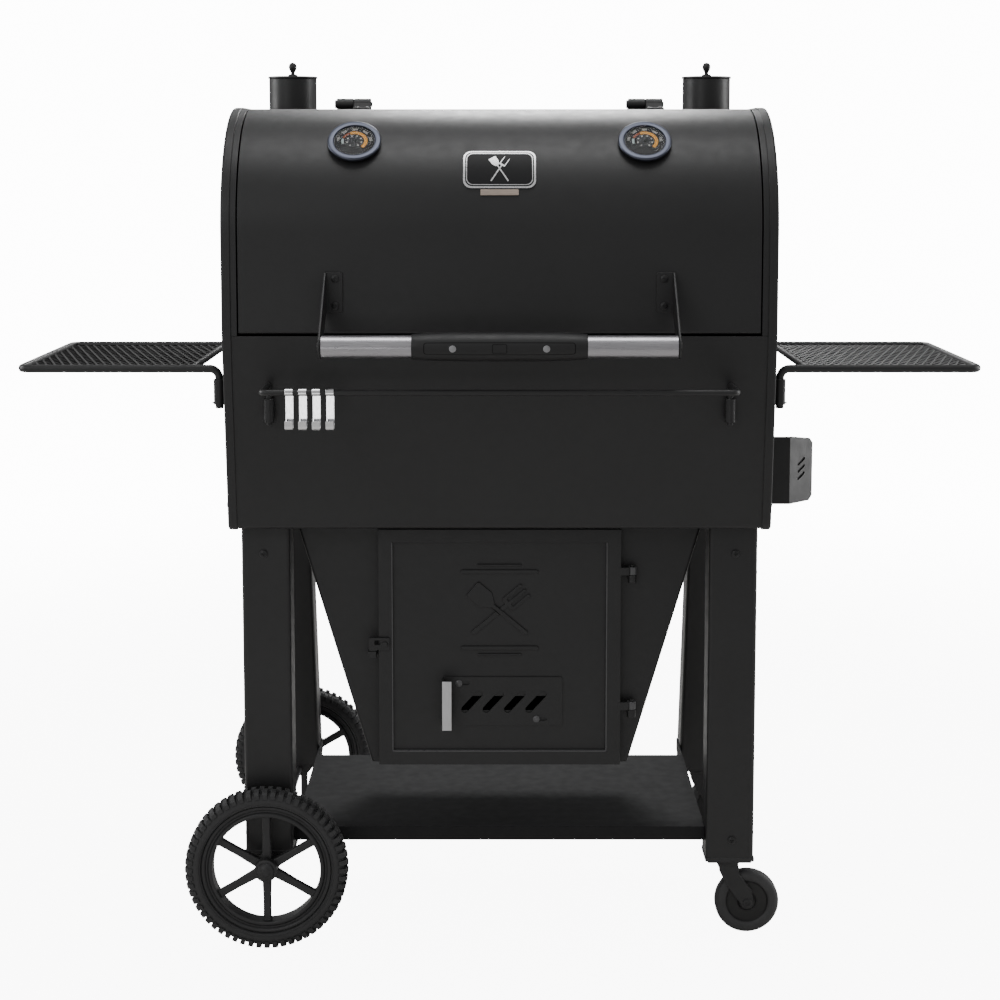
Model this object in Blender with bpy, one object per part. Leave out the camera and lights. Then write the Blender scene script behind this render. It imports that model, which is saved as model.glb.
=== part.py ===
"""A barrel charcoal smoker on a wheeled cart.

A horseshoe-section steel barrel with a front-opening lid stands on four legs. A tapered firebox with a
hinged door hangs under it, a shelf joins the legs, and mesh shelves plug into both ends of the barrel.
Metres throughout: X runs to the right, Y to the back and Z up, with the origin on the ground at the middle.
"""

import math

import bmesh
import bpy
from mathutils import Matrix, Vector

# ---- Driving dimensions -------------------------------------------------------------------------------

FRONT_Y = -0.2665            # Y of the barrel's flat front
GAP = 0.0003                 # clearance between pieces that touch
RUN = 0.0004                 # radial clearance of a shaft in its hole
SHEET = 0.002                # thickness of the steel sheet

# Barrel
BARREL_DEPTH = 0.480
SHELL_HALF = 0.4065          # half length of the rolled sheets
CAP_HALF = 0.409             # outer faces of the end caps
CAP_FLANGE = 0.014           # width of the rim that wraps over the sheets
SEAM_Z = 0.950               # where the tub and the upper shell meet
BOTTOM_Z = 0.6545
WALL_LEAN = 0.040            # how far the tub's walls lean in, seam to bottom
FRONT_ARC = 0.185
FRONT_ARC_Z = 1.100
REAR_ARC = 0.180
REAR_ARC_Z = 1.105
TOP_Z = 1.285
ARC_STEPS = 14

# Lid
LID_HALF = 0.384
LID_OPENING_HALF = 0.386
LID_LOW_Z = 0.953
LID_BACK = 0.275
LID_LIP = 0.012
HINGE_BACK = 0.2835
HINGE_Z = TOP_Z + 0.0100
HINGE_RADIUS = 0.009
HINGE_PIN = 0.004
HINGE_X = 0.232
KNUCKLE = 0.027
HINGE_HEAD = 0.0065
LEAF_TOP_Z = TOP_Z + 0.004
LEAF_LENGTH = 0.030
FOOT_LENGTH = 0.026
LID_REAR_GAP = 0.0015        # between the lid's rear edge and the fixed sheet

# Lid handle
BAR_BACK = -0.100
BAR_Z = 0.944
BAR_RADIUS = 0.0165
BAR_WALL = 0.0015
BAR_HALF = 0.2535
GRIP_HALF = 0.125
GRIP_RADIUS = 0.0210
BRACKET_X = 0.2555
BRACKET_PLATE = 0.003
BRACKET_FOOT_WIDTH = 0.027
BRACKET_FOOT_LOW = 0.985
BRACKET_FOOT_HIGH = 1.044
BRACKET_HUB = 0.0175         # radius of the arm's round end
BRACKET_BOLT = 0.0055

# Instruments and badge on the lid
GAUGE_X = 0.215
GAUGE_RADIUS = 0.0398
GAUGE_RISE = 0.009
GAUGE_STEM = 0.004
BADGE_HALF = 0.054
BADGE_LOW_ANGLE = math.radians(17.0)
BADGE_HIGH_ANGLE = math.radians(40.5)

# Smokestacks
STACK_X = 0.337
STACK_BACK = 0.360
STACK_RADIUS = 0.0385
STACK_LOW_Z = 1.215
STACK_TOP_Z = 1.3375
CAP_RADIUS = 0.040
CAP_LIFT_STUD = 0.004

# Firebox
HOPPER_FRONT = 0.1165
HOPPER_TOP_BACK = 0.400
HOPPER_LOW_BACK = 0.345
HOPPER_TOP_HALF = 0.315
HOPPER_LOW_HALF = 0.200
HOPPER_LOW_Z = 0.270
MOUTH_HALF = 0.160
MOUTH_LOW_Z = 0.325
MOUTH_HIGH_Z = 0.615
TUB_HOLE_HALF = 0.300
TUB_HOLE_FRONT = 0.122
TUB_HOLE_BACK = 0.392

# Firebox door
DOOR_HALF = 0.187
DOOR_LOW_Z = 0.272
DOOR_HIGH_Z = 0.643
DOOR_FRONT = 0.096
DOOR_THICK = 0.018
DOOR_RAIL = 0.0205
DOOR_RECESS = 0.006
DOOR_AXIS_X = 0.2045
DOOR_AXIS_BACK = 0.1035
DOOR_KNUCKLE_RADIUS = 0.0068
DOOR_KNUCKLE = 0.0125
DOOR_HINGE_Z = (0.5712, 0.3585)

# Sliding damper on the door
DAMPER_LEFT = -0.0884
DAMPER_RIGHT = 0.0977
DAMPER_LOW_Z = 0.3335
DAMPER_HIGH_Z = 0.4103
DAMPER_TRAVEL = 0.014
DAMPER_SCREW_RADIUS = 0.0022
DAMPER_SCREWS = ((-0.0632, 0.4003), (0.0570, 0.3436))
VENT_COUNT = 4
VENT_PITCH = 0.0332
VENT_FIRST_X = -0.0560
VENT_LOW_Z = 0.3570
VENT_RISE = 0.0260
VENT_RUN = 0.0240
VENT_HALF_WIDTH = 0.0055
HANDLE_FORWARD = 0.070

# Legs, shelf and running gear
LEG_INNER = 0.3205
LEG_OUTER = 0.3945
LEG_DEPTH = 0.060
FRONT_LEG_FRONT = 0.078
REAR_LEG_BACK_TOP = 0.444
REAR_LEG_BACK_LOW = 0.594
REAR_LEG_REF_Z = 0.125
LEFT_LEG_LOW_Z = 0.135
RIGHT_LEG_LOW_Z = 0.122
SHELF_TOP_Z = 0.171
SHELF_LIP = 0.0215
SHELF_FRONT = 0.100
SHELF_BACK = 0.470
WHEEL_X = -0.358
WHEEL_RADIUS = 0.125
TYRE_INNER = 0.0995
TYRE_HALF_WIDTH = 0.0195
FRONT_WHEEL_BACK = 0.048
REAR_WHEEL_BACK = 0.624
AXLE_RADIUS = 0.005
SPOKES = 6
CASTER_X = 0.358
CASTER_TRAIL = 0.030
CASTER_RADIUS = 0.050
CASTER_HALF_WIDTH = 0.012
FRONT_CASTER_BACK = 0.108
REAR_CASTER_BACK = 0.565

# Side shelves
SHELF_TUBE = 0.006
SHELF_BEND = 0.014
SHELF_TUBE_Z = 0.897
SHELF_TUBE_FRONT = 0.045
SHELF_TUBE_BACK = 0.412
SHELF_OUTER_X = 0.7165
SHELF_INNER_X = 0.460
SLEEVE_X = 0.4195
SLEEVE_RADIUS = 0.0085
SLEEVE_LOW_Z = 0.8430
SLEEVE_HIGH_Z = 0.8815
TUBE_END_Z = 0.8375

# Tool rack and hooks
RACK_X = 0.3407
RACK_RADIUS = 0.0045
RACK_FORWARD = -0.090
RACK_Z = 0.877
RACK_SLEEVE_BACK = 0.004
RACK_SLEEVE_RADIUS = 0.008
RACK_SLEEVE_LOW_Z = 0.8215
RACK_SLEEVE_HIGH_Z = 0.8570
HOOK_COUNT = 4
HOOK_FIRST_X = -0.3010
HOOK_PITCH = 0.0195
HOOK_HALF_WIDTH = 0.0058
HOOK_LENGTH = 0.0610
HOOK_THICK = 0.0018
HOOK_BEND = 0.0075

# Air port and its hood on the right end
HOOD_LOW_Z = 0.664
HOOD_HIGH_Z = 0.772
HOOD_BACK = 0.200
HOOD_FLANGE = 0.020
HOOD_CORNER_X = 0.459
HOOD_REACH = 0.042           # how far the 45-degree wing goes out, and as far back
HOOD_TOP_DROP = 0.007
HOOD_CORNER = 0.008
HOOD_TRIM_START = 0.004
HOOD_SLOT_COUNT = 3
HOOD_SLOT_PITCH = 0.0115
HOOD_SLOT_RUN = 0.0150
HOOD_SLOT_RISE = 0.0080
HOOD_SLOT_HALF_WIDTH = 0.0022
AIR_PORT_RADIUS = 0.018

# Cooking grates
GRATE_Z = 0.9000
GRATE_THICK = 0.008
GRATE_BARS = 11


# ---- Materials ----------------------------------------------------------------------------------------

def paint(name, colour, roughness, metallic):
    """A Principled material with one colour, roughness and metallic value."""
    material = bpy.data.materials.new(name)
    material.use_nodes = True
    shader = material.node_tree.nodes["Principled BSDF"]
    shader.inputs["Base Color"].default_value = (*colour, 1.0)
    shader.inputs["Roughness"].default_value = roughness
    shader.inputs["Metallic"].default_value = metallic
    return material


def make_materials():
    """Every material of the smoker, by a short name."""
    return {
        "black_paint": paint("black_paint", (0.022, 0.022, 0.023), 0.50, 0.0),
        "shelf_paint": paint("shelf_paint", (0.035, 0.036, 0.038), 0.55, 0.0),
        "steel": paint("brushed_steel", (0.60, 0.60, 0.61), 0.30, 1.0),
        "hook_steel": paint("polished_steel", (0.80, 0.80, 0.81), 0.12, 1.0),
        "grip": paint("grip_plastic", (0.030, 0.030, 0.032), 0.55, 0.0),
        "iron": paint("cast_iron", (0.030, 0.030, 0.030), 0.70, 0.6),
        "rubber": paint("tyre_rubber", (0.028, 0.028, 0.029), 0.75, 0.0),
        "wheel": paint("wheel_plastic", (0.018, 0.018, 0.019), 0.50, 0.0),
        "bezel": paint("bezel_steel", (0.10, 0.11, 0.13), 0.30, 1.0),
        "badge": paint("badge_steel", (0.30, 0.30, 0.31), 0.35, 1.0),
    }


# ---- Shape helpers ------------------------------------------------------------------------------------

def back(distance):
    """Y of a point this far behind the barrel's flat front."""
    return FRONT_Y + distance


def skin_loops(loops, ring=False):
    """Join matching loops of points with quads: a ring of loops closes on itself, a run gets two caps."""
    mesh = bmesh.new()
    rows = [[mesh.verts.new(point) for point in loop] for loop in loops]
    count = max(len(row) for row in rows)
    pairs = list(zip(rows, rows[1:]))
    if ring:
        pairs.append((rows[-1], rows[0]))
    for first, second in pairs:
        for k in range(count):
            n = (k + 1) % count
            corners = (first[k % len(first)], first[n % len(first)],
                       second[n % len(second)], second[k % len(second)])
            corners = list(dict.fromkeys(corners))
            if len(corners) > 2:
                mesh.faces.new(corners)
    if not ring:
        for row in (rows[0], rows[-1]):
            if len(row) > 2:
                mesh.faces.new(row)
    bmesh.ops.recalc_face_normals(mesh, faces=mesh.faces[:])
    return mesh


def turned(profile, segments=24, ring=False, turn=None):
    """A solid turned about Z from (radius, height) points; a matrix may then turn and place it."""
    loops = []
    for radius, height in profile:
        if radius == 0.0:
            loops.append([(0.0, 0.0, height)])
            continue
        steps = [2.0 * math.pi * k / segments for k in range(segments)]
        loops.append([(radius * math.cos(a), radius * math.sin(a), height) for a in steps])
    mesh = skin_loops(loops, ring)
    if turn is not None:
        bmesh.ops.transform(mesh, matrix=turn, verts=mesh.verts)
    return mesh


def pointing(direction, place):
    """The matrix that turns Z to a direction and then moves the origin to a place."""
    turn = Vector(direction).to_track_quat("Z", "Y").to_matrix().to_4x4()
    return Matrix.Translation(place) @ turn


def rod(radius, start, end, segments=24):
    """A plain round bar between two points."""
    start, end = Vector(start), Vector(end)
    length = (end - start).length
    profile = [(radius, 0.0), (radius, length)]
    return turned(profile, segments, turn=pointing(end - start, start))


def pipe(radius, bore, start, end, segments=24):
    """A round bar with a hole along it."""
    start, end = Vector(start), Vector(end)
    length = (end - start).length
    profile = [(radius, 0.0), (radius, length), (bore, length), (bore, 0.0)]
    return turned(profile, segments, ring=True, turn=pointing(end - start, start))


def block(low, high):
    """A box between two corners."""
    x0, y0, z0 = low
    x1, y1, z1 = high
    lower = [(x0, y0, z0), (x1, y0, z0), (x1, y1, z0), (x0, y1, z0)]
    upper = [(x, y, z1) for x, y, _ in lower]
    return skin_loops([lower, upper])


def prism(outline, axis, start, end, holes=()):
    """A straight solid with any outline and holes, drawn across an axis and run along it."""
    place = {
        "X": lambda a, b, along: (along, a, b),
        "Y": lambda a, b, along: (a, along, b),
        "Z": lambda a, b, along: (a, b, along),
    }[axis]
    mesh = bmesh.new()
    for loop in (outline, *holes):
        row = [mesh.verts.new(place(a, b, start)) for a, b in loop]
        for first, second in zip(row, row[1:] + row[:1]):
            mesh.edges.new((first, second))
    bmesh.ops.triangle_fill(mesh, use_beauty=True, use_dissolve=False, edges=mesh.edges[:])
    grown = bmesh.ops.extrude_face_region(mesh, geom=mesh.faces[:])
    moved = [item for item in grown["geom"] if isinstance(item, bmesh.types.BMVert)]
    bmesh.ops.translate(mesh, vec=Vector(place(0.0, 0.0, end - start)), verts=moved)
    bmesh.ops.recalc_face_normals(mesh, faces=mesh.faces[:])
    return mesh


def circle(radius, centre=(0.0, 0.0), segments=24, start=0.0, sweep=2.0 * math.pi):
    """Points along a circle, or along part of one with both its ends."""
    whole = abs(sweep - 2.0 * math.pi) < 1e-9
    divisions = segments if whole else segments - 1
    angles = [start + sweep * k / divisions for k in range(segments)]
    return [(centre[0] + radius * math.cos(a), centre[1] + radius * math.sin(a)) for a in angles]


def stadium(first, second, half_width, steps=7):
    """The outline of a slot with round ends, between its two end centres."""
    angle = math.atan2(second[1] - first[1], second[0] - first[0])
    near = circle(half_width, first, steps, angle + math.pi / 2, math.pi)
    far = circle(half_width, second, steps, angle - math.pi / 2, math.pi)
    return near + far


def rectangle(low, high):
    """The four corners of an upright rectangle."""
    return [(low[0], low[1]), (high[0], low[1]), (high[0], high[1]), (low[0], high[1])]


def route_with_bends(corners, bend, steps=4):
    """A route through corner points whose inner corners are rounded to a bend radius."""
    corners = [Vector(corner) for corner in corners]
    route = [corners[0]]
    for before, corner, after in zip(corners, corners[1:], corners[2:]):
        to_start = (before - corner).normalized()
        to_end = (after - corner).normalized()
        half_angle = to_start.angle(to_end) / 2.0
        reach = bend / math.tan(half_angle)
        centre = corner + (to_start + to_end).normalized() * (bend / math.sin(half_angle))
        first = (corner + to_start * reach - centre).normalized()
        last = (corner + to_end * reach - centre).normalized()
        for k in range(steps + 1):
            route.append(centre + first.slerp(last, k / steps) * bend)
    route.append(corners[-1])
    return route


def swept(route, radius, sides=12):
    """A round bar bent along a route, with flat ends."""
    route = [Vector(point) for point in route]
    ahead = [(after - before).normalized() for before, after in zip(route, route[1:])]
    tangents = [ahead[0]]
    tangents += [(first + second).normalized() for first, second in zip(ahead, ahead[1:])]
    tangents.append(ahead[-1])
    side = tangents[0].orthogonal().normalized()
    loops = []
    for point, tangent in zip(route, tangents):
        side = (side - tangent * side.dot(tangent)).normalized()
        other = tangent.cross(side)
        angles = [2.0 * math.pi * k / sides for k in range(sides)]
        loops.append([point + side * (radius * math.cos(a)) + other * (radius * math.sin(a))
                      for a in angles])
    return skin_loops(loops)


def ribbon(path, thickness):
    """The two faces of a strip as (y, z) lines, from the line along its middle."""
    left, right = [], []
    for k, point in enumerate(path):
        before = path[max(k - 1, 0)]
        after = path[min(k + 1, len(path) - 1)]
        ahead = (Vector(after) - Vector(before)).normalized()
        normal = Vector((-ahead.y, ahead.x)) * (thickness / 2.0)
        left.append(tuple(Vector(point) + normal))
        right.append(tuple(Vector(point) - normal))
    return left, right


def folded_sheet(outer, inner, x_start, x_end):
    """A sheet that runs along X with its two faces given as matching (y, z) lines."""
    loops = []
    for (outer_y, outer_z), (inner_y, inner_z) in zip(outer, inner):
        loops.append([(x_start, outer_y, outer_z), (x_end, outer_y, outer_z),
                      (x_end, inner_y, inner_z), (x_start, inner_y, inner_z)])
    return skin_loops(loops)


def add_piece(name, mesh, material, origin=(0.0, 0.0, 0.0)):
    """Turn a mesh given in the smoker's frame into a named object with its own origin."""
    bmesh.ops.translate(mesh, vec=-Vector(origin), verts=mesh.verts)
    data = bpy.data.meshes.new(name)
    mesh.to_mesh(data)
    mesh.free()
    data.shade_smooth()
    data.set_sharp_from_angle(angle=math.radians(32.0))
    piece = bpy.data.objects.new(name, data)
    piece.location = origin
    piece.data.materials.append(material)
    bpy.context.collection.objects.link(piece)
    return piece


def use_boolean(piece, operation, meshes, origin=(0.0, 0.0, 0.0)):
    """Weld meshes to a piece or cut them out of it; the helpers stay hidden from the model."""
    for number, mesh in enumerate(meshes):
        name = f"{piece.name}_{operation.lower()}_{number}"
        helper = add_piece(name, mesh, piece.data.materials[0], origin)
        helper.hide_render = True
        helper.display_type = "WIRE"
        modifier = piece.modifiers.new(helper.name, "BOOLEAN")
        modifier.operation = operation
        modifier.solver = "EXACT"
        modifier.object = helper


def weld(piece, *meshes):
    """Join welded-on solids to a piece."""
    use_boolean(piece, "UNION", meshes)


def cut(piece, *meshes):
    """Cut holes into a piece."""
    use_boolean(piece, "DIFFERENCE", meshes)


# ---- The barrel's section -----------------------------------------------------------------------------

def tub_wall(z):
    """How far the tub's front wall stands behind the barrel's front at a height."""
    return WALL_LEAN * (SEAM_Z - z) / (SEAM_Z - BOTTOM_Z)


def arch_line(grow, low_z, last_back):
    """The upper section as (y, z) points, front to back, grown outwards; it stops at a distance back."""
    line = [(-grow, low_z), (-grow, FRONT_ARC_Z)]
    for k in range(1, ARC_STEPS + 1):
        angle = math.pi - math.pi / 2.0 * k / ARC_STEPS
        radius = FRONT_ARC + grow
        line.append((FRONT_ARC + radius * math.cos(angle), FRONT_ARC_Z + radius * math.sin(angle)))
    if last_back < BARREL_DEPTH - REAR_ARC:
        line.append((last_back, TOP_Z + grow))
    else:
        for k in range(ARC_STEPS + 1):
            angle = math.pi / 2.0 * (1.0 - k / ARC_STEPS)
            radius = REAR_ARC + grow
            line.append((BARREL_DEPTH - REAR_ARC + radius * math.cos(angle),
                         REAR_ARC_Z + radius * math.sin(angle)))
        line.append((BARREL_DEPTH + grow, low_z))
    return [(back(distance), z) for distance, z in line]


def tub_line(grow, high_z):
    """The lower section as (y, z) points from the front seam down, under and up to the rear seam."""
    slope = WALL_LEAN / (SEAM_Z - BOTTOM_Z)
    sideways = grow * math.hypot(1.0, slope)
    low_z = BOTTOM_Z - grow
    front_high = tub_wall(high_z) - sideways
    front_low = tub_wall(low_z) - sideways
    line = [(front_high, high_z), (front_low, low_z),
            (BARREL_DEPTH - front_low, low_z), (BARREL_DEPTH - front_high, high_z)]
    return [(back(distance), z) for distance, z in line]


def end_outline(grow):
    """The whole outline of the barrel's end, grown outwards."""
    arch = arch_line(grow, SEAM_Z, BARREL_DEPTH)
    tub = tub_line(grow, SEAM_Z)
    return arch + [tub[2], tub[1]]


# ---- Barrel -------------------------------------------------------------------------------------------

def make_tub(materials):
    """The lower sheet with the firebox hole in its floor and the tool rack's sleeves on its front."""
    top = SEAM_Z - GAP
    mesh = folded_sheet(tub_line(0.0, top), tub_line(-SHEET, top), -SHELL_HALF, SHELL_HALF)
    tub = add_piece("lower_tub", mesh, materials["black_paint"])
    cut(tub, block((-TUB_HOLE_HALF, back(TUB_HOLE_FRONT), BOTTOM_Z - SHEET),
                   (TUB_HOLE_HALF, back(TUB_HOLE_BACK), BOTTOM_Z + 3.0 * SHEET)))
    bore = RACK_RADIUS + RUN
    for side in (-1.0, 1.0):
        x = side * RACK_X
        y = back(RACK_SLEEVE_BACK)
        low, high = RACK_SLEEVE_LOW_Z, RACK_SLEEVE_HIGH_Z
        web_front = y + RACK_SLEEVE_RADIUS - 0.0015
        web = [(web_front, low + 0.003), (back(tub_wall(low + 0.003) + SHEET / 2.0), low + 0.003),
               (back(tub_wall(high - 0.003) + SHEET / 2.0), high - 0.003), (web_front, high - 0.003)]
        weld(tub, pipe(RACK_SLEEVE_RADIUS, bore, (x, y, low), (x, y, high), 16),
             prism(web, "X", x - 0.004, x + 0.004))


def make_upper_shell(materials):
    """The upper sheet, cut away where the lid sits, with a hole for each smokestack."""
    outer = arch_line(0.0, SEAM_Z + GAP, BARREL_DEPTH)
    inner = arch_line(-SHEET, SEAM_Z + GAP, BARREL_DEPTH)
    shell = add_piece("upper_shell", folded_sheet(outer, inner, -SHELL_HALF, SHELL_HALF),
                      materials["black_paint"])
    clear = 0.05
    cut(shell, block((-LID_OPENING_HALF, back(-clear), SEAM_Z - clear),
                     (LID_OPENING_HALF, back(LID_BACK + LID_REAR_GAP), TOP_Z + clear)))
    for side in (-1.0, 1.0):
        place = (side * STACK_X, back(STACK_BACK))
        cut(shell, rod(STACK_RADIUS + GAP, (*place, STACK_LOW_Z - clear), (*place, STACK_TOP_Z), 40))


def make_end_cap(materials, name, side):
    """A flanged end plate with the side shelf's two sleeves welded to its face."""
    face = side * CAP_HALF
    loops = []
    for x, grow in ((face, GAP + SHEET), (face - side * CAP_FLANGE, GAP + SHEET),
                    (face - side * CAP_FLANGE, GAP), (face - side * SHEET, GAP)):
        loops.append([(x, y, z) for y, z in end_outline(grow)])
    cap = add_piece(name, skin_loops(loops), materials["black_paint"])
    bore = SHELF_TUBE + RUN
    for distance in (SHELF_TUBE_FRONT, SHELF_TUBE_BACK):
        y = back(distance)
        low = (side * SLEEVE_X, y, SLEEVE_LOW_Z)
        high = (side * SLEEVE_X, y, SLEEVE_HIGH_Z)
        sleeve = pipe(SLEEVE_RADIUS, bore, low, high, 16)
        web_x = sorted((face - side * 0.001, side * (SLEEVE_X - SLEEVE_RADIUS + 0.0015)))
        web = block((web_x[0], y - 0.005, SLEEVE_LOW_Z + 0.003), (web_x[1], y + 0.005, SLEEVE_HIGH_Z - 0.003))
        weld(cap, sleeve, web)
    return cap


def make_lid(materials):
    """The curved lid with a stiffening lip, its two hinge leaves and the holes for the gauges."""
    outer = arch_line(0.0, LID_LOW_Z, LID_BACK)
    inner = arch_line(-SHEET, LID_LOW_Z + SHEET, LID_BACK)
    outer = [(back(LID_LIP), LID_LOW_Z)] + outer
    inner = [(back(LID_LIP), LID_LOW_Z + SHEET)] + inner
    axis = (0.0, back(HINGE_BACK), HINGE_Z)
    lid = add_piece("lid", folded_sheet(outer, inner, -LID_HALF, LID_HALF), materials["black_paint"], axis)
    for side in (-1.0, 1.0):
        x_low = side * HINGE_X + GAP
        x_high = x_low + KNUCKLE
        y = back(HINGE_BACK)
        leaf = block((x_low, back(LID_BACK - LEAF_LENGTH), TOP_Z - SHEET * 0.4),
                     (x_high, back(LID_BACK - 0.0005), LEAF_TOP_Z))
        arm = prism([(back(LID_BACK - 0.012), TOP_Z + 0.003), (back(LID_BACK - 0.0005), TOP_Z + 0.001),
                     (y - 0.0052, HINGE_Z - 0.0052), (y - 0.0052, HINGE_Z + 0.0052)], "X", x_low, x_high)
        knuckle = pipe(HINGE_RADIUS, HINGE_PIN + RUN, (x_low, y, HINGE_Z), (x_high, y, HINGE_Z), 20)
        weld(lid, leaf, arm, knuckle)
        cut(lid, rod(GAUGE_STEM + GAP, gauge_point(side, -0.02), gauge_point(side, 0.0005), 16))


def make_hinge_bases(materials):
    """The fixed half of each lid hinge, with the pin that the lid turns on."""
    for name, side in (("left_lid_hinge", -1.0), ("right_lid_hinge", 1.0)):
        y = back(HINGE_BACK)
        x_high = side * HINGE_X - GAP
        x_low = x_high - KNUCKLE
        foot = block((x_low, y, TOP_Z + GAP), (x_high, back(HINGE_BACK + FOOT_LENGTH), LEAF_TOP_Z))
        base = add_piece(name, foot, materials["black_paint"])
        hub = rod(HINGE_RADIUS, (x_low, y, HINGE_Z), (x_high, y, HINGE_Z), 20)
        pin_end = x_high + 2.0 * GAP + KNUCKLE + 0.002
        pin = rod(HINGE_PIN, (x_high - 0.004, y, HINGE_Z), (pin_end, y, HINGE_Z), 20)
        head = rod(HINGE_HEAD, (x_low - 0.003, y, HINGE_Z), (x_low + 0.001, y, HINGE_Z), 16)
        weld(base, hub, pin, head)


# ---- Lid fittings -------------------------------------------------------------------------------------

def gauge_point(side, outward):
    """A point on a gauge's axis, measured outwards from the lid's surface."""
    reach = (FRONT_ARC + outward) * math.sqrt(0.5)
    return Vector((side * GAUGE_X, back(FRONT_ARC - reach), FRONT_ARC_Z + reach))


def make_gauges(materials):
    """A dial thermometer on each side of the lid: a round case on a long stem."""
    for name, side in (("left_thermometer", -1.0), ("right_thermometer", 1.0)):
        profile = [(0.0, -0.060), (GAUGE_STEM, -0.060), (GAUGE_STEM, GAP), (0.034, GAP),
                   (GAUGE_RADIUS, 0.003), (GAUGE_RADIUS, GAUGE_RISE - 0.002),
                   (GAUGE_RADIUS - 0.002, GAUGE_RISE), (0.0335, GAUGE_RISE), (0.0325, GAUGE_RISE - 0.003),
                   (0.0, GAUGE_RISE - 0.003)]
        turn = pointing((0.0, -1.0, 1.0), gauge_point(side, 0.0))
        add_piece(name, turned(profile, 32, turn=turn), materials["bezel"], gauge_point(side, 0.0))


def make_badge(materials):
    """A plain plate that follows the lid's curve."""
    faces = []
    for grow in (GAP + 0.0025, GAP):
        line = []
        for k in range(7):
            angle = BADGE_LOW_ANGLE + (BADGE_HIGH_ANGLE - BADGE_LOW_ANGLE) * k / 6
            radius = FRONT_ARC + grow
            line.append((back(FRONT_ARC - radius * math.cos(angle)), FRONT_ARC_Z + radius * math.sin(angle)))
        faces.append(line)
    add_piece("lid_badge", folded_sheet(faces[0], faces[1], -BADGE_HALF, BADGE_HALF), materials["badge"])


def make_handle(materials):
    """The lid's handle: a steel tube with a swollen grip, between two brackets."""
    y = back(BAR_BACK)
    tube = pipe(BAR_RADIUS, BAR_RADIUS - BAR_WALL, (-BAR_HALF, y, BAR_Z), (BAR_HALF, y, BAR_Z), 28)
    add_piece("lid_handle_tube", tube, materials["steel"])
    profile = []
    steps = 6
    for k in range(steps + 1):
        along = -1.0 + 2.0 * k / steps
        swell = (GRIP_RADIUS - BAR_RADIUS - BAR_WALL) * (1.0 - along ** 4)
        profile.append((BAR_RADIUS + BAR_WALL + swell, along * GRIP_HALF))
    profile += [(BAR_RADIUS + GAP, GRIP_HALF), (BAR_RADIUS + GAP, -GRIP_HALF)]
    grip = turned(profile, 20, ring=True, turn=pointing((1.0, 0.0, 0.0), (0.0, y, BAR_Z)))
    add_piece("lid_handle_grip", grip, materials["grip"])
    for name, side in (("left_handle_bracket", -1.0), ("right_handle_bracket", 1.0)):
        make_handle_bracket(materials, name, side)


def make_handle_bracket(materials, name, side):
    """A plate arm with a foot bolted to the lid and a hub that plugs the tube's end."""
    inner = side * (BRACKET_X - BRACKET_PLATE / 2.0)
    outer = side * (BRACKET_X + BRACKET_PLATE / 2.0)
    y = back(BAR_BACK)
    arm = [(back(-GAP), BRACKET_FOOT_HIGH), (back(-GAP), BRACKET_FOOT_LOW)]
    arm += circle(BRACKET_HUB, (y, BAR_Z), 9, math.radians(-60.0), math.radians(-170.0))
    bracket = add_piece(name, prism(arm, "X", *sorted((inner, outer))), materials["black_paint"])
    foot_x = sorted((outer, side * (BRACKET_X + BRACKET_PLATE / 2.0 - BRACKET_FOOT_WIDTH)))
    foot = block((foot_x[0], back(-GAP - BRACKET_PLATE), BRACKET_FOOT_LOW),
                 (foot_x[1], back(-GAP), BRACKET_FOOT_HIGH))
    plug_radius = BAR_RADIUS - BAR_WALL - GAP
    plug = rod(plug_radius, (side * (BAR_HALF - 0.012), y, BAR_Z), (side * BRACKET_X, y, BAR_Z), 20)
    bolt = rod(BRACKET_BOLT, (outer - side * 0.001, y, BAR_Z), (outer + side * 0.003, y, BAR_Z), 12)
    weld(bracket, foot, plug, bolt)


# ---- Smokestacks --------------------------------------------------------------------------------------

def make_stacks(materials):
    """Two round stacks, each with a lifting cap guided by a bar across its mouth."""
    for word, side in (("left", -1.0), ("right", 1.0)):
        x = side * STACK_X
        y = back(STACK_BACK)
        tube = pipe(STACK_RADIUS, STACK_RADIUS - SHEET, (x, y, STACK_LOW_Z), (x, y, STACK_TOP_Z), 40)
        stack = add_piece(f"{word}_smokestack", tube, materials["black_paint"])
        bar_z = STACK_TOP_Z - 0.030
        reach = STACK_RADIUS - SHEET / 2.0
        weld(stack, block((x - reach, y - 0.008, bar_z), (x + reach, y + 0.008, bar_z + 0.004)))
        cut(stack, rod(CAP_LIFT_STUD + RUN, (x, y, bar_z - 0.01), (x, y, bar_z + 0.014), 16))
        top = STACK_TOP_Z + GAP
        profile = [(0.0, -0.058), (CAP_LIFT_STUD, -0.058), (CAP_LIFT_STUD, 0.0), (CAP_RADIUS, 0.0),
                   (CAP_RADIUS, 0.0034), (0.0072, 0.0034), (0.0072, 0.0066), (0.0029, 0.0076),
                   (0.0030, 0.0120), (0.0068, 0.0190), (0.0040, 0.0255), (0.0, 0.0266)]
        cap = turned(profile, 24, turn=Matrix.Translation((x, y, top)))
        add_piece(f"{word}_stack_cap", cap, materials["black_paint"], (x, y, top))


# ---- Firebox ------------------------------------------------------------------------------------------

def hopper_loop(z, inset):
    """The firebox's four corners at a height, moved in from its outer faces."""
    share = (z - HOPPER_LOW_Z) / (BOTTOM_Z - HOPPER_LOW_Z)
    half = HOPPER_LOW_HALF + (HOPPER_TOP_HALF - HOPPER_LOW_HALF) * share - inset
    rear = HOPPER_LOW_BACK + (HOPPER_TOP_BACK - HOPPER_LOW_BACK) * share - inset
    front = HOPPER_FRONT + inset
    return [(-half, back(front), z), (half, back(front), z), (half, back(rear), z), (-half, back(rear), z)]


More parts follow.
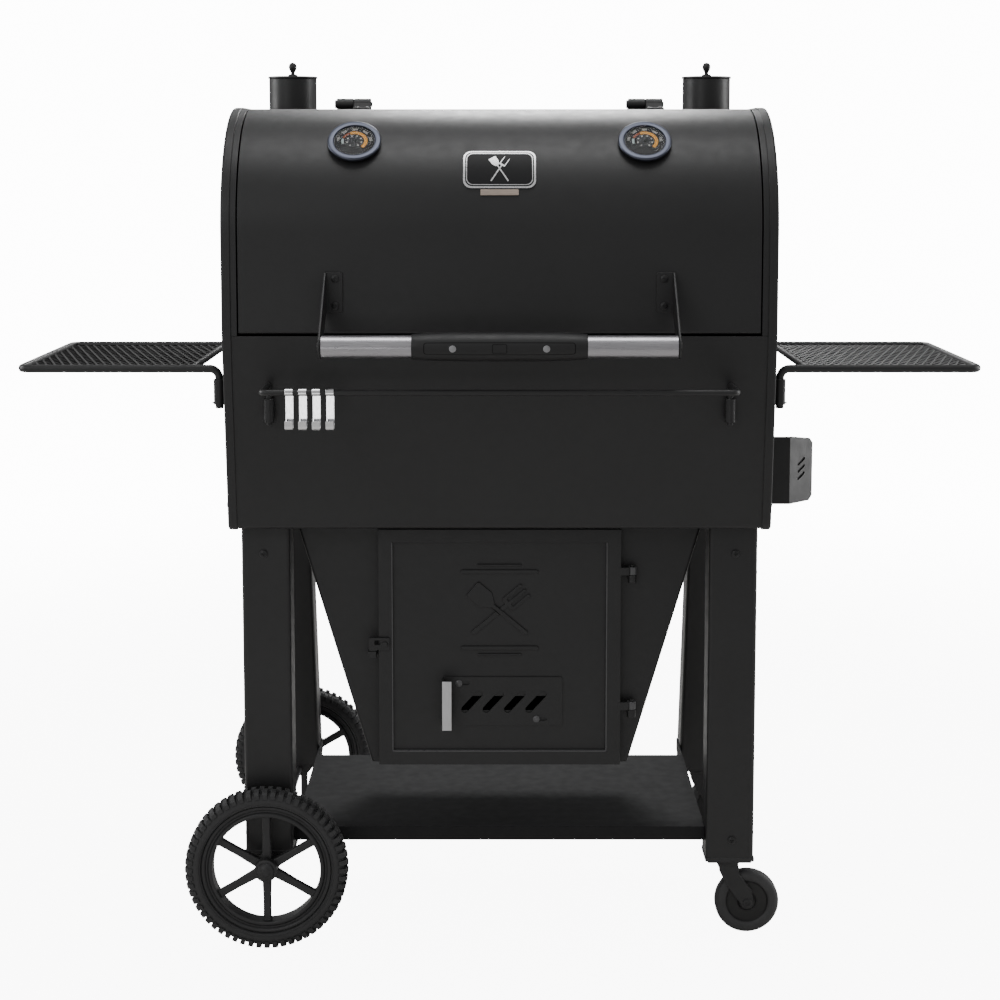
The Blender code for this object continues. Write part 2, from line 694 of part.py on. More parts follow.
def make_hopper(materials):
    """The tapered firebox, open at the top, with the door's mouth, hinge knuckles and catch."""
    top = BOTTOM_Z - GAP
    loops = [hopper_loop(HOPPER_LOW_Z, 0.0), hopper_loop(top, 0.0),
             hopper_loop(top, SHEET), hopper_loop(HOPPER_LOW_Z + SHEET, SHEET)]
    hopper = add_piece("firebox_hopper", skin_loops(loops), materials["black_paint"])
    cut(hopper, block((-MOUTH_HALF, back(HOPPER_FRONT - 0.01), MOUTH_LOW_Z),
                      (MOUTH_HALF, back(HOPPER_FRONT + 0.01), MOUTH_HIGH_Z)))
    axis_y = back(DOOR_AXIS_BACK)
    for z in DOOR_HINGE_Z:
        low, high = z - DOOR_KNUCKLE - GAP, z - GAP
        knuckle = rod(DOOR_KNUCKLE_RADIUS, (DOOR_AXIS_X, axis_y, low), (DOOR_AXIS_X, axis_y, high), 20)
        pin = rod(0.0030, (DOOR_AXIS_X, axis_y, high - 0.002),
                  (DOOR_AXIS_X, axis_y, high + DOOR_KNUCKLE + 0.0035), 16)
        web = block((DOOR_AXIS_X - 0.003, axis_y + 0.003, low),
                    (DOOR_AXIS_X + 0.005, back(HOPPER_FRONT + 0.001), high))
        weld(hopper, knuckle, pin, web)
    keeper_y = DOOR_FRONT - 0.004
    weld(hopper, block((-0.2035, back(keeper_y), 0.4420), (-0.1905, back(HOPPER_FRONT + 0.001), 0.4527)))


def make_door(materials):
    """The firebox door: a raised frame round a sunk panel, with vents and the damper's two screws."""
    axis = (DOOR_AXIS_X, back(DOOR_AXIS_BACK), 0.0)
    mesh = block((-DOOR_HALF, back(DOOR_FRONT), DOOR_LOW_Z),
                 (DOOR_HALF, back(DOOR_FRONT + DOOR_THICK), DOOR_HIGH_Z))
    front = min(mesh.faces, key=lambda face: face.calc_center_median().y)
    bmesh.ops.inset_region(mesh, faces=[front], thickness=DOOR_RAIL)
    bmesh.ops.translate(mesh, vec=(0.0, DOOR_RECESS, 0.0), verts=front.verts[:])
    door = add_piece("firebox_door", mesh, materials["black_paint"], axis)
    panel = DOOR_FRONT + DOOR_RECESS
    cut(door, block((-MOUTH_HALF, back(panel + 0.003), MOUTH_LOW_Z),
                    (MOUTH_HALF, back(panel + DOOR_THICK), MOUTH_HIGH_Z)))
    for k in range(VENT_COUNT):
        x = VENT_FIRST_X + k * VENT_PITCH
        slant = VENT_HALF_WIDTH * math.sqrt(2.0)
        outline = [(x - slant, VENT_LOW_Z), (x + slant, VENT_LOW_Z),
                   (x + slant + VENT_RUN * 0.86, VENT_LOW_Z + VENT_RISE * 0.86),
                   (x - slant + VENT_RUN * 0.86, VENT_LOW_Z + VENT_RISE * 0.86)]
        cut(door, prism(outline, "Y", back(panel - 0.004), back(panel + DOOR_THICK)))
    for x, z in DAMPER_SCREWS:
        shank = rod(DAMPER_SCREW_RADIUS, (x, back(panel + 0.002), z), (x, back(panel - 0.005), z), 12)
        head_profile = [(0.0055, 0.0), (0.0048, 0.0018), (0.0, 0.0026)]
        head_place = (x, back(panel - SHEET - 2.0 * GAP), z)
        head = turned(head_profile, 16, turn=pointing((0.0, -1.0, 0.0), head_place))
        weld(door, shank, head)
    for z in DOOR_HINGE_Z:
        high = z + DOOR_KNUCKLE
        y = back(DOOR_AXIS_BACK)
        place = ((DOOR_AXIS_X, y, z), (DOOR_AXIS_X, y, high))
        knuckle = pipe(DOOR_KNUCKLE_RADIUS, 0.0030 + RUN, *place, 20)
        strap = block((DOOR_HALF - 0.004, back(DOOR_FRONT - 0.0005), z),
                      (DOOR_AXIS_X - 0.0045, y - 0.001, high))
        weld(door, knuckle, strap)


def make_damper(materials):
    """The sliding damper plate, folded forward at its left edge, and its steel handle."""
    panel = DOOR_FRONT + DOOR_RECESS
    rear, front = back(panel - GAP), back(panel - GAP - SHEET)
    holes = []
    for x, z in DAMPER_SCREWS:
        holes.append(stadium((x, z), (x + DAMPER_TRAVEL, z), DAMPER_SCREW_RADIUS + 0.0005))
    for k in range(VENT_COUNT):
        x = VENT_FIRST_X + k * VENT_PITCH
        holes.append(stadium((x + 0.002, VENT_LOW_Z + 0.002), (x + VENT_RUN, VENT_LOW_Z + VENT_RISE),
                             VENT_HALF_WIDTH))
    outline = rectangle((DAMPER_LEFT, DAMPER_LOW_Z), (DAMPER_RIGHT, DAMPER_HIGH_Z))
    damper = add_piece("door_damper", prism(outline, "Y", front, rear, holes), materials["black_paint"],
                       (DAMPER_LEFT, front, DAMPER_LOW_Z))
    tip = back(HANDLE_FORWARD + SHEET + GAP)
    weld(damper, block((DAMPER_LEFT, tip, DAMPER_LOW_Z), (DAMPER_LEFT + SHEET, front + 0.001, DAMPER_HIGH_Z)))
    handle = block((DAMPER_LEFT, back(HANDLE_FORWARD), DAMPER_LOW_Z),
                   (DAMPER_LEFT + 0.0145, back(HANDLE_FORWARD + SHEET), DAMPER_HIGH_Z))
    add_piece("damper_handle", handle, materials["steel"], (DAMPER_LEFT, front, DAMPER_LOW_Z))


def make_latch(materials):
    """The small lever on the door's left edge that drops on the firebox's catch."""
    pivot = (-0.1770, back(DOOR_FRONT), 0.4637)
    rear = back(DOOR_FRONT - GAP)
    outline = [(-0.2015, 0.4530), (-0.1905, 0.4530), (-0.1880, 0.4545), (-0.1697, 0.4545),
               (-0.1697, 0.4740), (-0.2015, 0.4740)]
    latch = add_piece("door_latch", prism(outline, "Y", rear - 0.004, rear), materials["black_paint"], pivot)
    weld(latch, rod(0.0045, (pivot[0], rear - 0.001, pivot[2]), (pivot[0], rear - 0.0065, pivot[2]), 12))


def make_basket(materials):
    """The slotted charcoal basket that hangs by its rim in the tub's floor."""
    rim_z = BOTTOM_Z + SHEET + GAP
    low_z = 0.520
    top_half, low_half = TUB_HOLE_HALF - 0.012, 0.220
    front, rear = TUB_HOLE_FRONT + 0.012, TUB_HOLE_BACK - 0.012

    def loop(half, inset, z):
        return [(-half, back(front + inset), z), (half, back(front + inset), z),
                (half, back(rear - inset), z), (-half, back(rear - inset), z)]

    brim = 0.020
    loops = [loop(low_half, 0.020, low_z), loop(top_half, 0.0, rim_z), loop(top_half + brim, -brim, rim_z),
             loop(top_half + brim, -brim, rim_z + SHEET), loop(top_half - SHEET, SHEET, rim_z + SHEET),
             loop(low_half - SHEET, 0.020 + SHEET, low_z + SHEET)]
    basket = add_piece("charcoal_basket", skin_loops(loops), materials["iron"])
    slots = 6
    for k in range(slots):
        x = -low_half + 0.030 + (2.0 * low_half - 0.060) * k / (slots - 1)
        cut(basket, block((x - 0.009, back(front + 0.040), low_z - 0.01),
                          (x + 0.009, back(rear - 0.040), low_z + 0.02)))


def make_ash_pan(materials):
    """The shallow pan on the firebox's floor."""
    low_z = HOPPER_LOW_Z + SHEET + GAP
    high_z = 0.315
    half, front, rear = 0.185, HOPPER_FRONT + 0.012, HOPPER_LOW_BACK - 0.012

    def loop(inset, z):
        return [(-half + inset, back(front + inset), z), (half - inset, back(front + inset), z),
                (half - inset, back(rear - inset), z), (-half + inset, back(rear - inset), z)]

    loops = [loop(0.004, low_z), loop(0.0, high_z), loop(0.0015, high_z), loop(0.0055, low_z + 0.0015)]
    add_piece("ash_pan", skin_loops(loops), materials["iron"])


# ---- Cooking grates -----------------------------------------------------------------------------------

def make_grates(materials):
    """Two barred grates on a ledge along each wall of the tub."""
    wall = tub_wall(GRATE_Z) + SHEET + 2.0 * GAP
    high, low = GRATE_Z - GAP, GRATE_Z - 0.018
    lean = tub_wall(low) - tub_wall(high)
    reach = 0.022
    section = [(wall, high), (wall + reach, high), (wall + reach, high - SHEET), (wall + SHEET, high - SHEET),
               (wall + SHEET + lean, low), (wall + lean, low)]
    ledge_half = SHELL_HALF - SHEET - 0.004
    front_section = [(back(distance), z) for distance, z in section]
    rear_section = [(back(BARREL_DEPTH - distance), z) for distance, z in section]
    for name, outline in (("front_grate_ledge", front_section), ("rear_grate_ledge", rear_section)):
        add_piece(name, prism(outline, "X", -ledge_half, ledge_half), materials["black_paint"])
    front, rear = wall + 0.003, BARREL_DEPTH - wall - 0.003
    for name, side in (("left_cooking_grate", -1.0), ("right_cooking_grate", 1.0)):
        near, far = sorted((side * 0.002, side * 0.392))
        border = 0.012
        pitch = (far - near - border) / GRATE_BARS
        holes = []
        for k in range(GRATE_BARS):
            x = near + border / 2.0 + k * pitch
            holes.append(rectangle((x + border / 2.0, back(front + 0.020)),
                                   (x + pitch - border / 2.0, back(rear - 0.020))))
        outline = rectangle((near, back(front)), (far, back(rear)))
        add_piece(name, prism(outline, "Z", GRATE_Z, GRATE_Z + GRATE_THICK, holes), materials["iron"])


# ---- Cart ---------------------------------------------------------------------------------------------

def leg_loop(side, front, inset, z):
    """The four corners of a leg at a height."""
    inner, outer = side * (LEG_INNER + inset), side * (LEG_OUTER - inset)
    near, far = back(front + inset), back(front + LEG_DEPTH - inset)
    return [(inner, near, z), (outer, near, z), (outer, far, z), (inner, far, z)]


def rear_leg_front(z):
    """How far back a rear leg's front face stands at a height."""
    rake = (REAR_LEG_BACK_LOW - REAR_LEG_BACK_TOP) / (BOTTOM_Z - REAR_LEG_REF_Z)
    return REAR_LEG_BACK_TOP - LEG_DEPTH + rake * (BOTTOM_Z - z)


def make_legs(materials):
    """Four box-section legs: the front pair upright, the rear pair raked back."""
    for word, side, low in (("left", -1.0, LEFT_LEG_LOW_Z), ("right", 1.0, RIGHT_LEG_LOW_Z)):
        high = BOTTOM_Z - GAP
        for place, front_at in (("front", lambda z: FRONT_LEG_FRONT), ("rear", rear_leg_front)):
            loops = [leg_loop(side, front_at(low), 0.0, low), leg_loop(side, front_at(high), 0.0, high),
                     leg_loop(side, front_at(high), SHEET, high), leg_loop(side, front_at(low), SHEET, low)]
            add_piece(f"{place}_{word}_leg", skin_loops(loops, ring=True), materials["black_paint"])


def make_shelf(materials):
    """The bottom shelf, folded down at its front and back, on two side rails that reach the rear legs."""
    half = LEG_INNER - GAP
    top, low = SHELF_TOP_Z, SHELF_TOP_Z - SHELF_LIP
    section = [(SHELF_FRONT, low), (SHELF_FRONT, top), (SHELF_BACK, top), (SHELF_BACK, low),
               (SHELF_BACK - SHEET, low), (SHELF_BACK - SHEET, top - SHEET),
               (SHELF_FRONT + SHEET, top - SHEET), (SHELF_FRONT + SHEET, low)]
    outline = [(back(distance), z) for distance, z in section]
    shelf = add_piece("bottom_shelf", prism(outline, "X", -half, half), materials["shelf_paint"])
    rail_back = rear_leg_front(low) + 0.045
    for side in (-1.0, 1.0):
        xs = sorted((side * half, side * (half - SHEET)))
        weld(shelf, block((xs[0], back(SHELF_FRONT + 0.0005), low), (xs[1], back(rail_back), top - 0.0005)))


def make_axle(materials):
    """The axle across the left side and the two brackets that hold it under the legs."""
    x, z = WHEEL_X, WHEEL_RADIUS
    axle = rod(AXLE_RADIUS, (x, back(0.0215), z), (x, back(0.6540), z), 20)
    add_piece("wheel_axle", axle, materials["steel"])
    rear_low = rear_leg_front(LEFT_LEG_LOW_Z)
    for word, leg_front in (("front", FRONT_LEG_FRONT), ("rear", rear_low)):
        near = leg_front + 0.004
        top = LEFT_LEG_LOW_Z - GAP
        outline = [(x - 0.030, top), (x - 0.012, 0.1130), (x + 0.012, 0.1130), (x + 0.030, top)]
        hole = circle(AXLE_RADIUS + RUN, (x, z), 20)
        near_y, far_y = back(near), back(near + LEG_DEPTH - 0.008)
        bracket = prism(outline, "Y", near_y, far_y, [hole])
        add_piece(f"{word}_axle_bracket", bracket, materials["black_paint"])


def make_wheels(materials):
    """Two spoked wheels with rubber tyres, free on the axle."""
    for word, distance in (("front", FRONT_WHEEL_BACK), ("rear", REAR_WHEEL_BACK)):
        centre = (WHEEL_X, back(distance), WHEEL_RADIUS)
        turn = pointing((0.0, 1.0, 0.0), centre)
        w = TYRE_HALF_WIDTH
        tyre = [(TYRE_INNER, -0.012), (TYRE_INNER + 0.006, -w), (0.1210, -w + 0.003),
                (WHEEL_RADIUS, -w + 0.009), (WHEEL_RADIUS, w - 0.009), (0.1210, w - 0.003),
                (TYRE_INNER + 0.006, w), (TYRE_INNER, 0.012)]
        add_piece(f"{word}_tyre", turned(tyre, 48, ring=True, turn=turn), materials["rubber"], centre)
        make_wheel(materials, f"{word}_wheel", centre)


def make_wheel(materials, name, centre):
    """A rim and a hub joined by spokes, cut from one disc and thickened at the rim and hub."""
    x, y, z = centre
    rim_outer, rim_inner, hub = TYRE_INNER - GAP, 0.083, 0.0175
    spoke_half, spoke_thick, rim_half, hub_half = 0.0060, 0.005, 0.0135, 0.0200
    holes = [circle(AXLE_RADIUS + RUN, (x, z), 20)]
    for k in range(SPOKES):
        middle = math.radians(60.0) * k
        corners = []
        for radius, steps, flip in ((hub - 0.001, 3, 1.0), (rim_inner + 0.001, 7, -1.0)):
            spread = math.radians(30.0) - math.asin(spoke_half / radius)
            for j in range(steps):
                angle = middle + flip * spread * (1.0 - 2.0 * j / (steps - 1))
                corners.append((x + radius * math.cos(angle), z + radius * math.sin(angle)))
        holes.append(corners)
    disc = prism(circle(rim_outer - 0.002, (x, z), 48), "Y", y - spoke_thick, y + spoke_thick, holes)
    wheel = add_piece(name, disc, materials["wheel"], centre)
    turn = pointing((0.0, 1.0, 0.0), centre)
    rim = [(rim_inner, -rim_half), (rim_outer, -rim_half), (rim_outer, rim_half), (rim_inner, rim_half)]
    boss = [(AXLE_RADIUS + RUN, -hub_half), (hub, -hub_half), (hub, hub_half), (AXLE_RADIUS + RUN, hub_half)]
    weld(wheel, turned(rim, 48, ring=True, turn=turn), turned(boss, 20, ring=True, turn=turn))


def make_casters(materials):
    """Two swivel casters under the right legs: a fixed plate, a fork and a wheel each."""
    for word, distance in (("front", FRONT_CASTER_BACK), ("rear", REAR_CASTER_BACK)):
        y = back(distance)
        plate_high = RIGHT_LEG_LOW_Z - GAP
        plate_low = plate_high - 0.003
        pin_radius, head_radius = 0.006, 0.010
        plate = block((CASTER_X - 0.0335, y - 0.0265, plate_low), (CASTER_X + 0.0335, y + 0.0265, plate_high))
        mount = add_piece(f"{word}_caster_plate", plate, materials["black_paint"])
        fork_high = plate_low - 0.0015
        fork_low = fork_high - 0.004
        stem = [(0.0, fork_low - 0.0035), (head_radius, fork_low - 0.0035), (head_radius, fork_low - 0.0010),
                (pin_radius, fork_low - 0.0010), (pin_radius, plate_low + 0.001), (0.0, plate_low + 0.001)]
        weld(mount, turned(stem, 20, turn=Matrix.Translation((CASTER_X, y, 0.0))))
        make_caster_fork(materials, f"{word}_caster_fork", y, fork_low, fork_high, pin_radius)
        wheel_centre = (CASTER_X + CASTER_TRAIL, y, CASTER_RADIUS)
        w = CASTER_HALF_WIDTH
        bore = 0.0040 + RUN
        profile = [(bore, -w), (0.012, -w), (0.030, -w + 0.003), (0.046, -w), (CASTER_RADIUS, -w + 0.004),
                   (CASTER_RADIUS, w - 0.004), (0.046, w), (0.030, w - 0.003), (0.012, w), (bore, w)]
        wheel = turned(profile, 28, ring=True, turn=pointing((0.0, 1.0, 0.0), wheel_centre))
        add_piece(f"{word}_caster_wheel", wheel, materials["rubber"], wheel_centre)


def make_caster_fork(materials, name, y, low, high, pin_radius):
    """A crown that turns on the king pin, two tapered cheeks and the wheel's axle bolt."""
    origin = (CASTER_X, y, high)
    crown_radius = 0.021
    hole = circle(pin_radius + RUN, (CASTER_X, y), 20)
    crown = prism(circle(crown_radius, (CASTER_X, y), 28), "Z", low, high, [hole])
    fork = add_piece(name, crown, materials["black_paint"], origin)
    cheek_inner, cheek_thick = CASTER_HALF_WIDTH + 0.0015, 0.0025
    axle_x, axle_z = CASTER_X + CASTER_TRAIL, CASTER_RADIUS
    outline = [(CASTER_X - 0.015, high - 0.001), (CASTER_X - 0.015, low - 0.006)]
    outline += circle(0.0095, (axle_x, axle_z), 9, math.radians(-150.0), math.radians(170.0))
    outline += [(CASTER_X + 0.015, high - 0.001)]
    for side in (-1.0, 1.0):
        ys = sorted((y + side * cheek_inner, y + side * (cheek_inner + cheek_thick)))
        weld(fork, prism(outline, "Y", ys[0], ys[1]))
    reach = cheek_inner + cheek_thick + 0.002
    weld(fork, rod(0.0040, (axle_x, y - reach, axle_z), (axle_x, y + reach, axle_z), 16))


# ---- Side shelves, tool rack and hood -----------------------------------------------------------------

def make_side_shelf(materials, word, side):
    """A bent tube frame that plugs into the end cap, and the mesh sheet inside it."""
    plug_x, outer_x = side * SLEEVE_X, side * SHELF_OUTER_X
    front_y, rear_y = back(SHELF_TUBE_FRONT), back(SHELF_TUBE_BACK)
    z = SHELF_TUBE_Z
    corners = [(plug_x, front_y, TUBE_END_Z), (plug_x, front_y, z), (outer_x, front_y, z),
               (outer_x, rear_y, z), (plug_x, rear_y, z), (plug_x, rear_y, TUBE_END_Z)]
    frame = swept(route_with_bends(corners, SHELF_BEND), SHELF_TUBE, 12)
    add_piece(f"{word}_shelf_frame", frame, materials["black_paint"])
    inner_x = side * SHELF_INNER_X
    near_y, far_y = front_y + SHELF_TUBE + GAP, rear_y - SHELF_TUBE - GAP
    bar = rod(0.005, (inner_x, near_y, z), (inner_x, far_y, z), 14)
    add_piece(f"{word}_shelf_crossbar", bar, materials["black_paint"])
    clipped = SHELF_BEND - SHELF_TUBE - GAP
    near_x, far_x = inner_x + side * 0.0055, outer_x - side * (SHELF_TUBE + GAP)
    outline = [(near_x, near_y), (far_x - side * clipped, near_y), (far_x, near_y + clipped),
               (far_x, far_y - clipped), (far_x - side * clipped, far_y), (near_x, far_y)]
    sheet = prism(outline, "Z", z - 0.001, z + 0.001)
    add_piece(f"{word}_shelf_mesh", sheet, materials["black_paint"])


def make_tool_rack(materials):
    """The front rail, whose ends run back and drop into sleeves on the tub."""
    sleeve_y, rail_y = back(RACK_SLEEVE_BACK), back(RACK_FORWARD)
    drop_z = RACK_SLEEVE_LOW_Z - 0.004
    corners = [(-RACK_X, sleeve_y, drop_z), (-RACK_X, sleeve_y, RACK_Z), (-RACK_X, rail_y, RACK_Z),
               (RACK_X, rail_y, RACK_Z), (RACK_X, sleeve_y, RACK_Z), (RACK_X, sleeve_y, drop_z)]
    rack = swept(route_with_bends(corners, 0.009), RACK_RADIUS, 10)
    add_piece("tool_rack", rack, materials["black_paint"])


def make_hooks(materials):
    """Flat steel hooks that hang over the rail, fall behind it and turn up at the front."""
    y, z = back(RACK_FORWARD), RACK_Z
    over = RACK_RADIUS + RUN + HOOK_THICK / 2.0
    low_z = z - HOOK_LENGTH + over + HOOK_BEND + HOOK_THICK
    path = circle(over, (y, z), 10, math.radians(205.0), math.radians(-205.0))
    path += circle(HOOK_BEND, (y + over - HOOK_BEND, low_z), 9, 0.0, -math.pi)
    path.append((path[-1][0] - 0.001, low_z + 0.006))
    faces = ribbon(path, HOOK_THICK)
    for number in range(HOOK_COUNT):
        x = HOOK_FIRST_X + number * HOOK_PITCH
        mesh = folded_sheet(*faces, x - HOOK_HALF_WIDTH, x + HOOK_HALF_WIDTH)
        add_piece(f"tool_hook_{number + 1}", mesh, materials["hook_steel"], (x, y, z))


def make_air_hood(materials):
    """The bent plate that shields the air port in the right end, with slanted slots."""
    middle = CAP_HALF + GAP + SHEET / 2.0
    low, high = HOOD_LOW_Z, HOOD_HIGH_Z
    front, corner_x = back(HOOD_BACK), HOOD_CORNER_X
    path = [(middle, front - HOOD_FLANGE), (middle, front), (corner_x, front),
            (corner_x + HOOD_REACH, front + HOOD_REACH)]
    inner, outer = ribbon(path, SHEET)
    hood = add_piece("air_port_hood", prism(inner + outer[::-1], "Z", low, high), materials["black_paint"])
    reach = HOOD_REACH * math.sqrt(2.0)
    clear = HOOD_REACH / 4.0
    slots = []
    for number in range(HOOD_SLOT_COUNT):
        z = (low + high) / 2.0 + (number - (HOOD_SLOT_COUNT - 1) / 2.0) * HOOD_SLOT_PITCH
        start = (reach / 2.0 - HOOD_SLOT_RUN / 2.0, z - HOOD_SLOT_RISE / 2.0)
        end = (reach / 2.0 + HOOD_SLOT_RUN / 2.0, z + HOOD_SLOT_RISE / 2.0)
        slots.append(stadium(start, end, HOOD_SLOT_HALF_WIDTH))
    slope_z, corner_z = high - HOOD_TOP_DROP, high - HOOD_TOP_DROP - HOOD_CORNER
    top_trim = [(HOOD_TRIM_START, high + clear), (HOOD_TRIM_START, high), (reach - HOOD_CORNER, slope_z),
                (reach, corner_z), (reach + clear, corner_z), (reach + clear, high + clear)]
    low_trim = [(reach - HOOD_CORNER, low), (reach - HOOD_CORNER, low - clear), (reach + clear, low - clear),
                (reach + clear, low + HOOD_CORNER), (reach, low + HOOD_CORNER)]
    turn = Matrix.Translation((corner_x, front, 0.0)) @ Matrix.Rotation(math.radians(45.0), 4, "Z")
    for outline in (*slots, top_trim, low_trim):
        cutter = prism(outline, "Y", -clear, clear)
        bmesh.ops.transform(cutter, matrix=turn, verts=cutter.verts)
        cut(hood, cutter)


def build():
    """Clear the scene and make the whole smoker."""
    for thing in list(bpy.data.objects):
        bpy.data.objects.remove(thing, do_unlink=True)
    materials = make_materials()
    make_tub(materials)
    make_upper_shell(materials)
    make_end_cap(materials, "left_end_cap", -1.0)
    right_cap = make_end_cap(materials, "right_end_cap", 1.0)
    port = (back(HOOD_BACK + HOOD_REACH), (HOOD_LOW_Z + HOOD_HIGH_Z) / 2.0)
    cut(right_cap, rod(AIR_PORT_RADIUS, (CAP_HALF - 0.01, *port), (CAP_HALF + 0.01, *port), 24))
    make_lid(materials)
    make_hinge_bases(materials)
    make_gauges(materials)
    make_badge(materials)
    make_handle(materials)
    make_stacks(materials)
    make_hopper(materials)
    make_door(materials)
    make_damper(materials)
    make_latch(materials)
    make_basket(materials)
    make_ash_pan(materials)
    make_grates(materials)
    make_legs(materials)
    make_shelf(materials)
    make_axle(materials)
    make_wheels(materials)
    make_casters(materials)
    for word, side in (("left", -1.0), ("right", 1.0)):
        make_side_shelf(materials, word, side)
    make_tool_rack(materials)
    make_hooks(materials)
    make_air_hood(materials)


build()
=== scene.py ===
"""The looks of a barrel smoker on a cart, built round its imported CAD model."""

import math

import bmesh
import bpy
from mathutils import Matrix, Vector


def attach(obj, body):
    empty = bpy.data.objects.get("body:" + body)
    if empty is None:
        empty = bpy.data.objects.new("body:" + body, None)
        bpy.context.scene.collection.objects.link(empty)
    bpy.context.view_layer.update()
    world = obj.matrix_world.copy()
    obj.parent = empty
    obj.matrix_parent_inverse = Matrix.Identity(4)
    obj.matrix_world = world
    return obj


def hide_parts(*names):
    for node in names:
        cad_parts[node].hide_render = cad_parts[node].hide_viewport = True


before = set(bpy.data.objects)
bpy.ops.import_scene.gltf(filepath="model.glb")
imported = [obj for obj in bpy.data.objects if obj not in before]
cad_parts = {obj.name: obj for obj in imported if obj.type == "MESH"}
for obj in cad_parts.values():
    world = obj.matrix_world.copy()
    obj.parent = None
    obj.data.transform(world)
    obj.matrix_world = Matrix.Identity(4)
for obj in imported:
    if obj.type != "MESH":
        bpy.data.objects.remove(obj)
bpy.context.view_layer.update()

# ---- Sizes, in metres, as in the CAD model ------------------------------------------------------------
FRONT_Y = -0.2665            # Y of the barrel's flat front
DEPTH = 0.480                # the barrel, front to back
SHEET = 0.002
SHELL_HALF = 0.4065
CAP_HALF = 0.409
FLANGE = 0.014
SEAM_Z, LOW_Z, TOP_Z = 0.950, 0.6545, 1.285
WALL_LEAN = 0.040
FRONT_ARC, FRONT_ARC_Z = 0.185, 1.100
REAR_ARC, REAR_ARC_Z = 0.180, 1.105
LID_HALF, LID_LOW_Z, LID_BACK = 0.384, 0.953, 0.275
LID_OPENING_HALF = 0.386
HINGE_X, HINGE_BACK, HINGE_Z = 0.232, 0.2835, 1.295
BAR_BACK, BAR_Z, BAR_RADIUS, BAR_HALF = -0.100, 0.944, 0.0165, 0.2535
GRIP_HALF, GRIP_RADIUS = 0.125, 0.021
BRACKET_X = 0.2555
GAUGE_X, GAUGE_RADIUS = 0.215, 0.0398
DIAL_SCALE = 0.918           # the printed dial, inside its wide bezel
STACK_X, STACK_BACK, STACK_RADIUS = 0.337, 0.360, 0.0385
STACK_LOW_Z, STACK_TOP_Z = 1.215, 1.3375
HOPPER_LOW_Z = 0.270
DOOR_HALF, DOOR_LOW_Z, DOOR_HIGH_Z = 0.187, 0.272, 0.643
DOOR_FRONT, DOOR_RECESS = 0.096, 0.006
DOOR_AXIS_X, DOOR_AXIS_BACK = 0.2045, 0.1035
DOOR_HINGE_Z = (0.5712, 0.3585)
DAMPER_LEFT, DAMPER_RIGHT = -0.0884, 0.0977
DAMPER_LOW_Z, DAMPER_HIGH_Z = 0.3335, 0.4103
WHEEL_X, WHEEL_RADIUS = -0.358, 0.125
WHEEL_BACK = {"front": 0.048, "rear": 0.624}
CASTER_X, CASTER_TRAIL, CASTER_RADIUS = 0.358, 0.030, 0.050
CASTER_BACK = {"front": 0.108, "rear": 0.565}
SHELF_Z, SHELF_TUBE = 0.897, 0.006
SHELF_FRONT, SHELF_REAR = 0.045, 0.412
SHELF_OUTER_X, SHELF_INNER_X, SLEEVE_X = 0.7165, 0.460, 0.4195
RACK_X, RACK_Z, RACK_FORWARD, RACK_RADIUS = 0.3407, 0.877, -0.090, 0.0045
HOOK_FIRST_X, HOOK_PITCH, HOOK_HALF = -0.3010, 0.0195, 0.0058
PORT_BACK, PORT_Z = 0.242, 0.718
SIDES = (("left", -1.0), ("right", 1.0))
LEG_INNER_X, LEG_OUTER_X, LEG_DEPTH = 0.3205, 0.3945, 0.060
LEG_LOW_Z = {"left": 0.135, "right": 0.122}
FRONT_LEG_BACK, REAR_LEG_HIGH_BACK, REAR_LEG_RAKE = 0.078, 0.384, 0.150
MOUTH_HALF, MOUTH_LOW_Z, MOUTH_HIGH_Z = 0.160, 0.325, 0.615    # the firebox's door opening
DAMPER_SCREWS = ((-0.0632, 0.4003), (0.0570, 0.3436))
VENTS = [(-0.0560 + 0.0332 * k, 0.3570) for k in range(4)]     # lower ends of the door's slanted vents
HOOD_SLOTS_X, HOOD_SLOTS_BACK = 0.480, 0.221
FLOOR_GLOW = 9.0             # how bright the camera sees the floor
SKY_SEEN = 17.0              # how bright the camera sees the backdrop
SKY_LOW, SKY_HIGH = 0.48, 0.66


def back(distance):
    """Y of a point this far behind the barrel's front."""
    return FRONT_Y + distance


# ---- Materials ----------------------------------------------------------------------------------------

def set_inputs(node, inputs):
    """Set a node's inputs by name, with underscores for spaces."""
    for key, value in inputs.items():
        node.inputs[key.replace("_", " ")].default_value = value


def new_node(tree, kind, **inputs):
    """A shader node with some of its inputs set."""
    node = tree.nodes.new("ShaderNode" + kind)
    set_inputs(node, inputs)
    return node


def join(tree, *pairs):
    """Link outputs to inputs."""
    for source, target in pairs:
        tree.links.new(source, target)


def new_material(name, colour, metallic=0.0, roughness=0.5, **inputs):
    """A Principled material, with its node tree and shader."""
    material = bpy.data.materials.new(name)
    material.use_nodes = True
    tree = material.node_tree
    shader = tree.nodes["Principled BSDF"]
    shader.inputs["Base Color"].default_value = (*colour, 1.0)
    shader.inputs["Metallic"].default_value = metallic
    shader.inputs["Roughness"].default_value = roughness
    set_inputs(shader, inputs)
    return material, tree, shader


def shade(colour, share):
    """A colour made darker or lighter."""
    return tuple(min(1.0, channel * share) for channel in colour)


def noise(tree, scale, stretch=(1.0, 1.0, 1.0), detail=3.0):
    """Noise in metres of the object's own space, stretched along an axis if asked."""
    place = new_node(tree, "TexCoord")
    mapping = new_node(tree, "Mapping", Scale=stretch)
    texture = new_node(tree, "TexNoise", Scale=scale, Detail=detail)
    join(tree, (place.outputs["Object"], mapping.inputs["Vector"]),
         (mapping.outputs["Vector"], texture.inputs["Vector"]))
    return texture.outputs["Fac"]


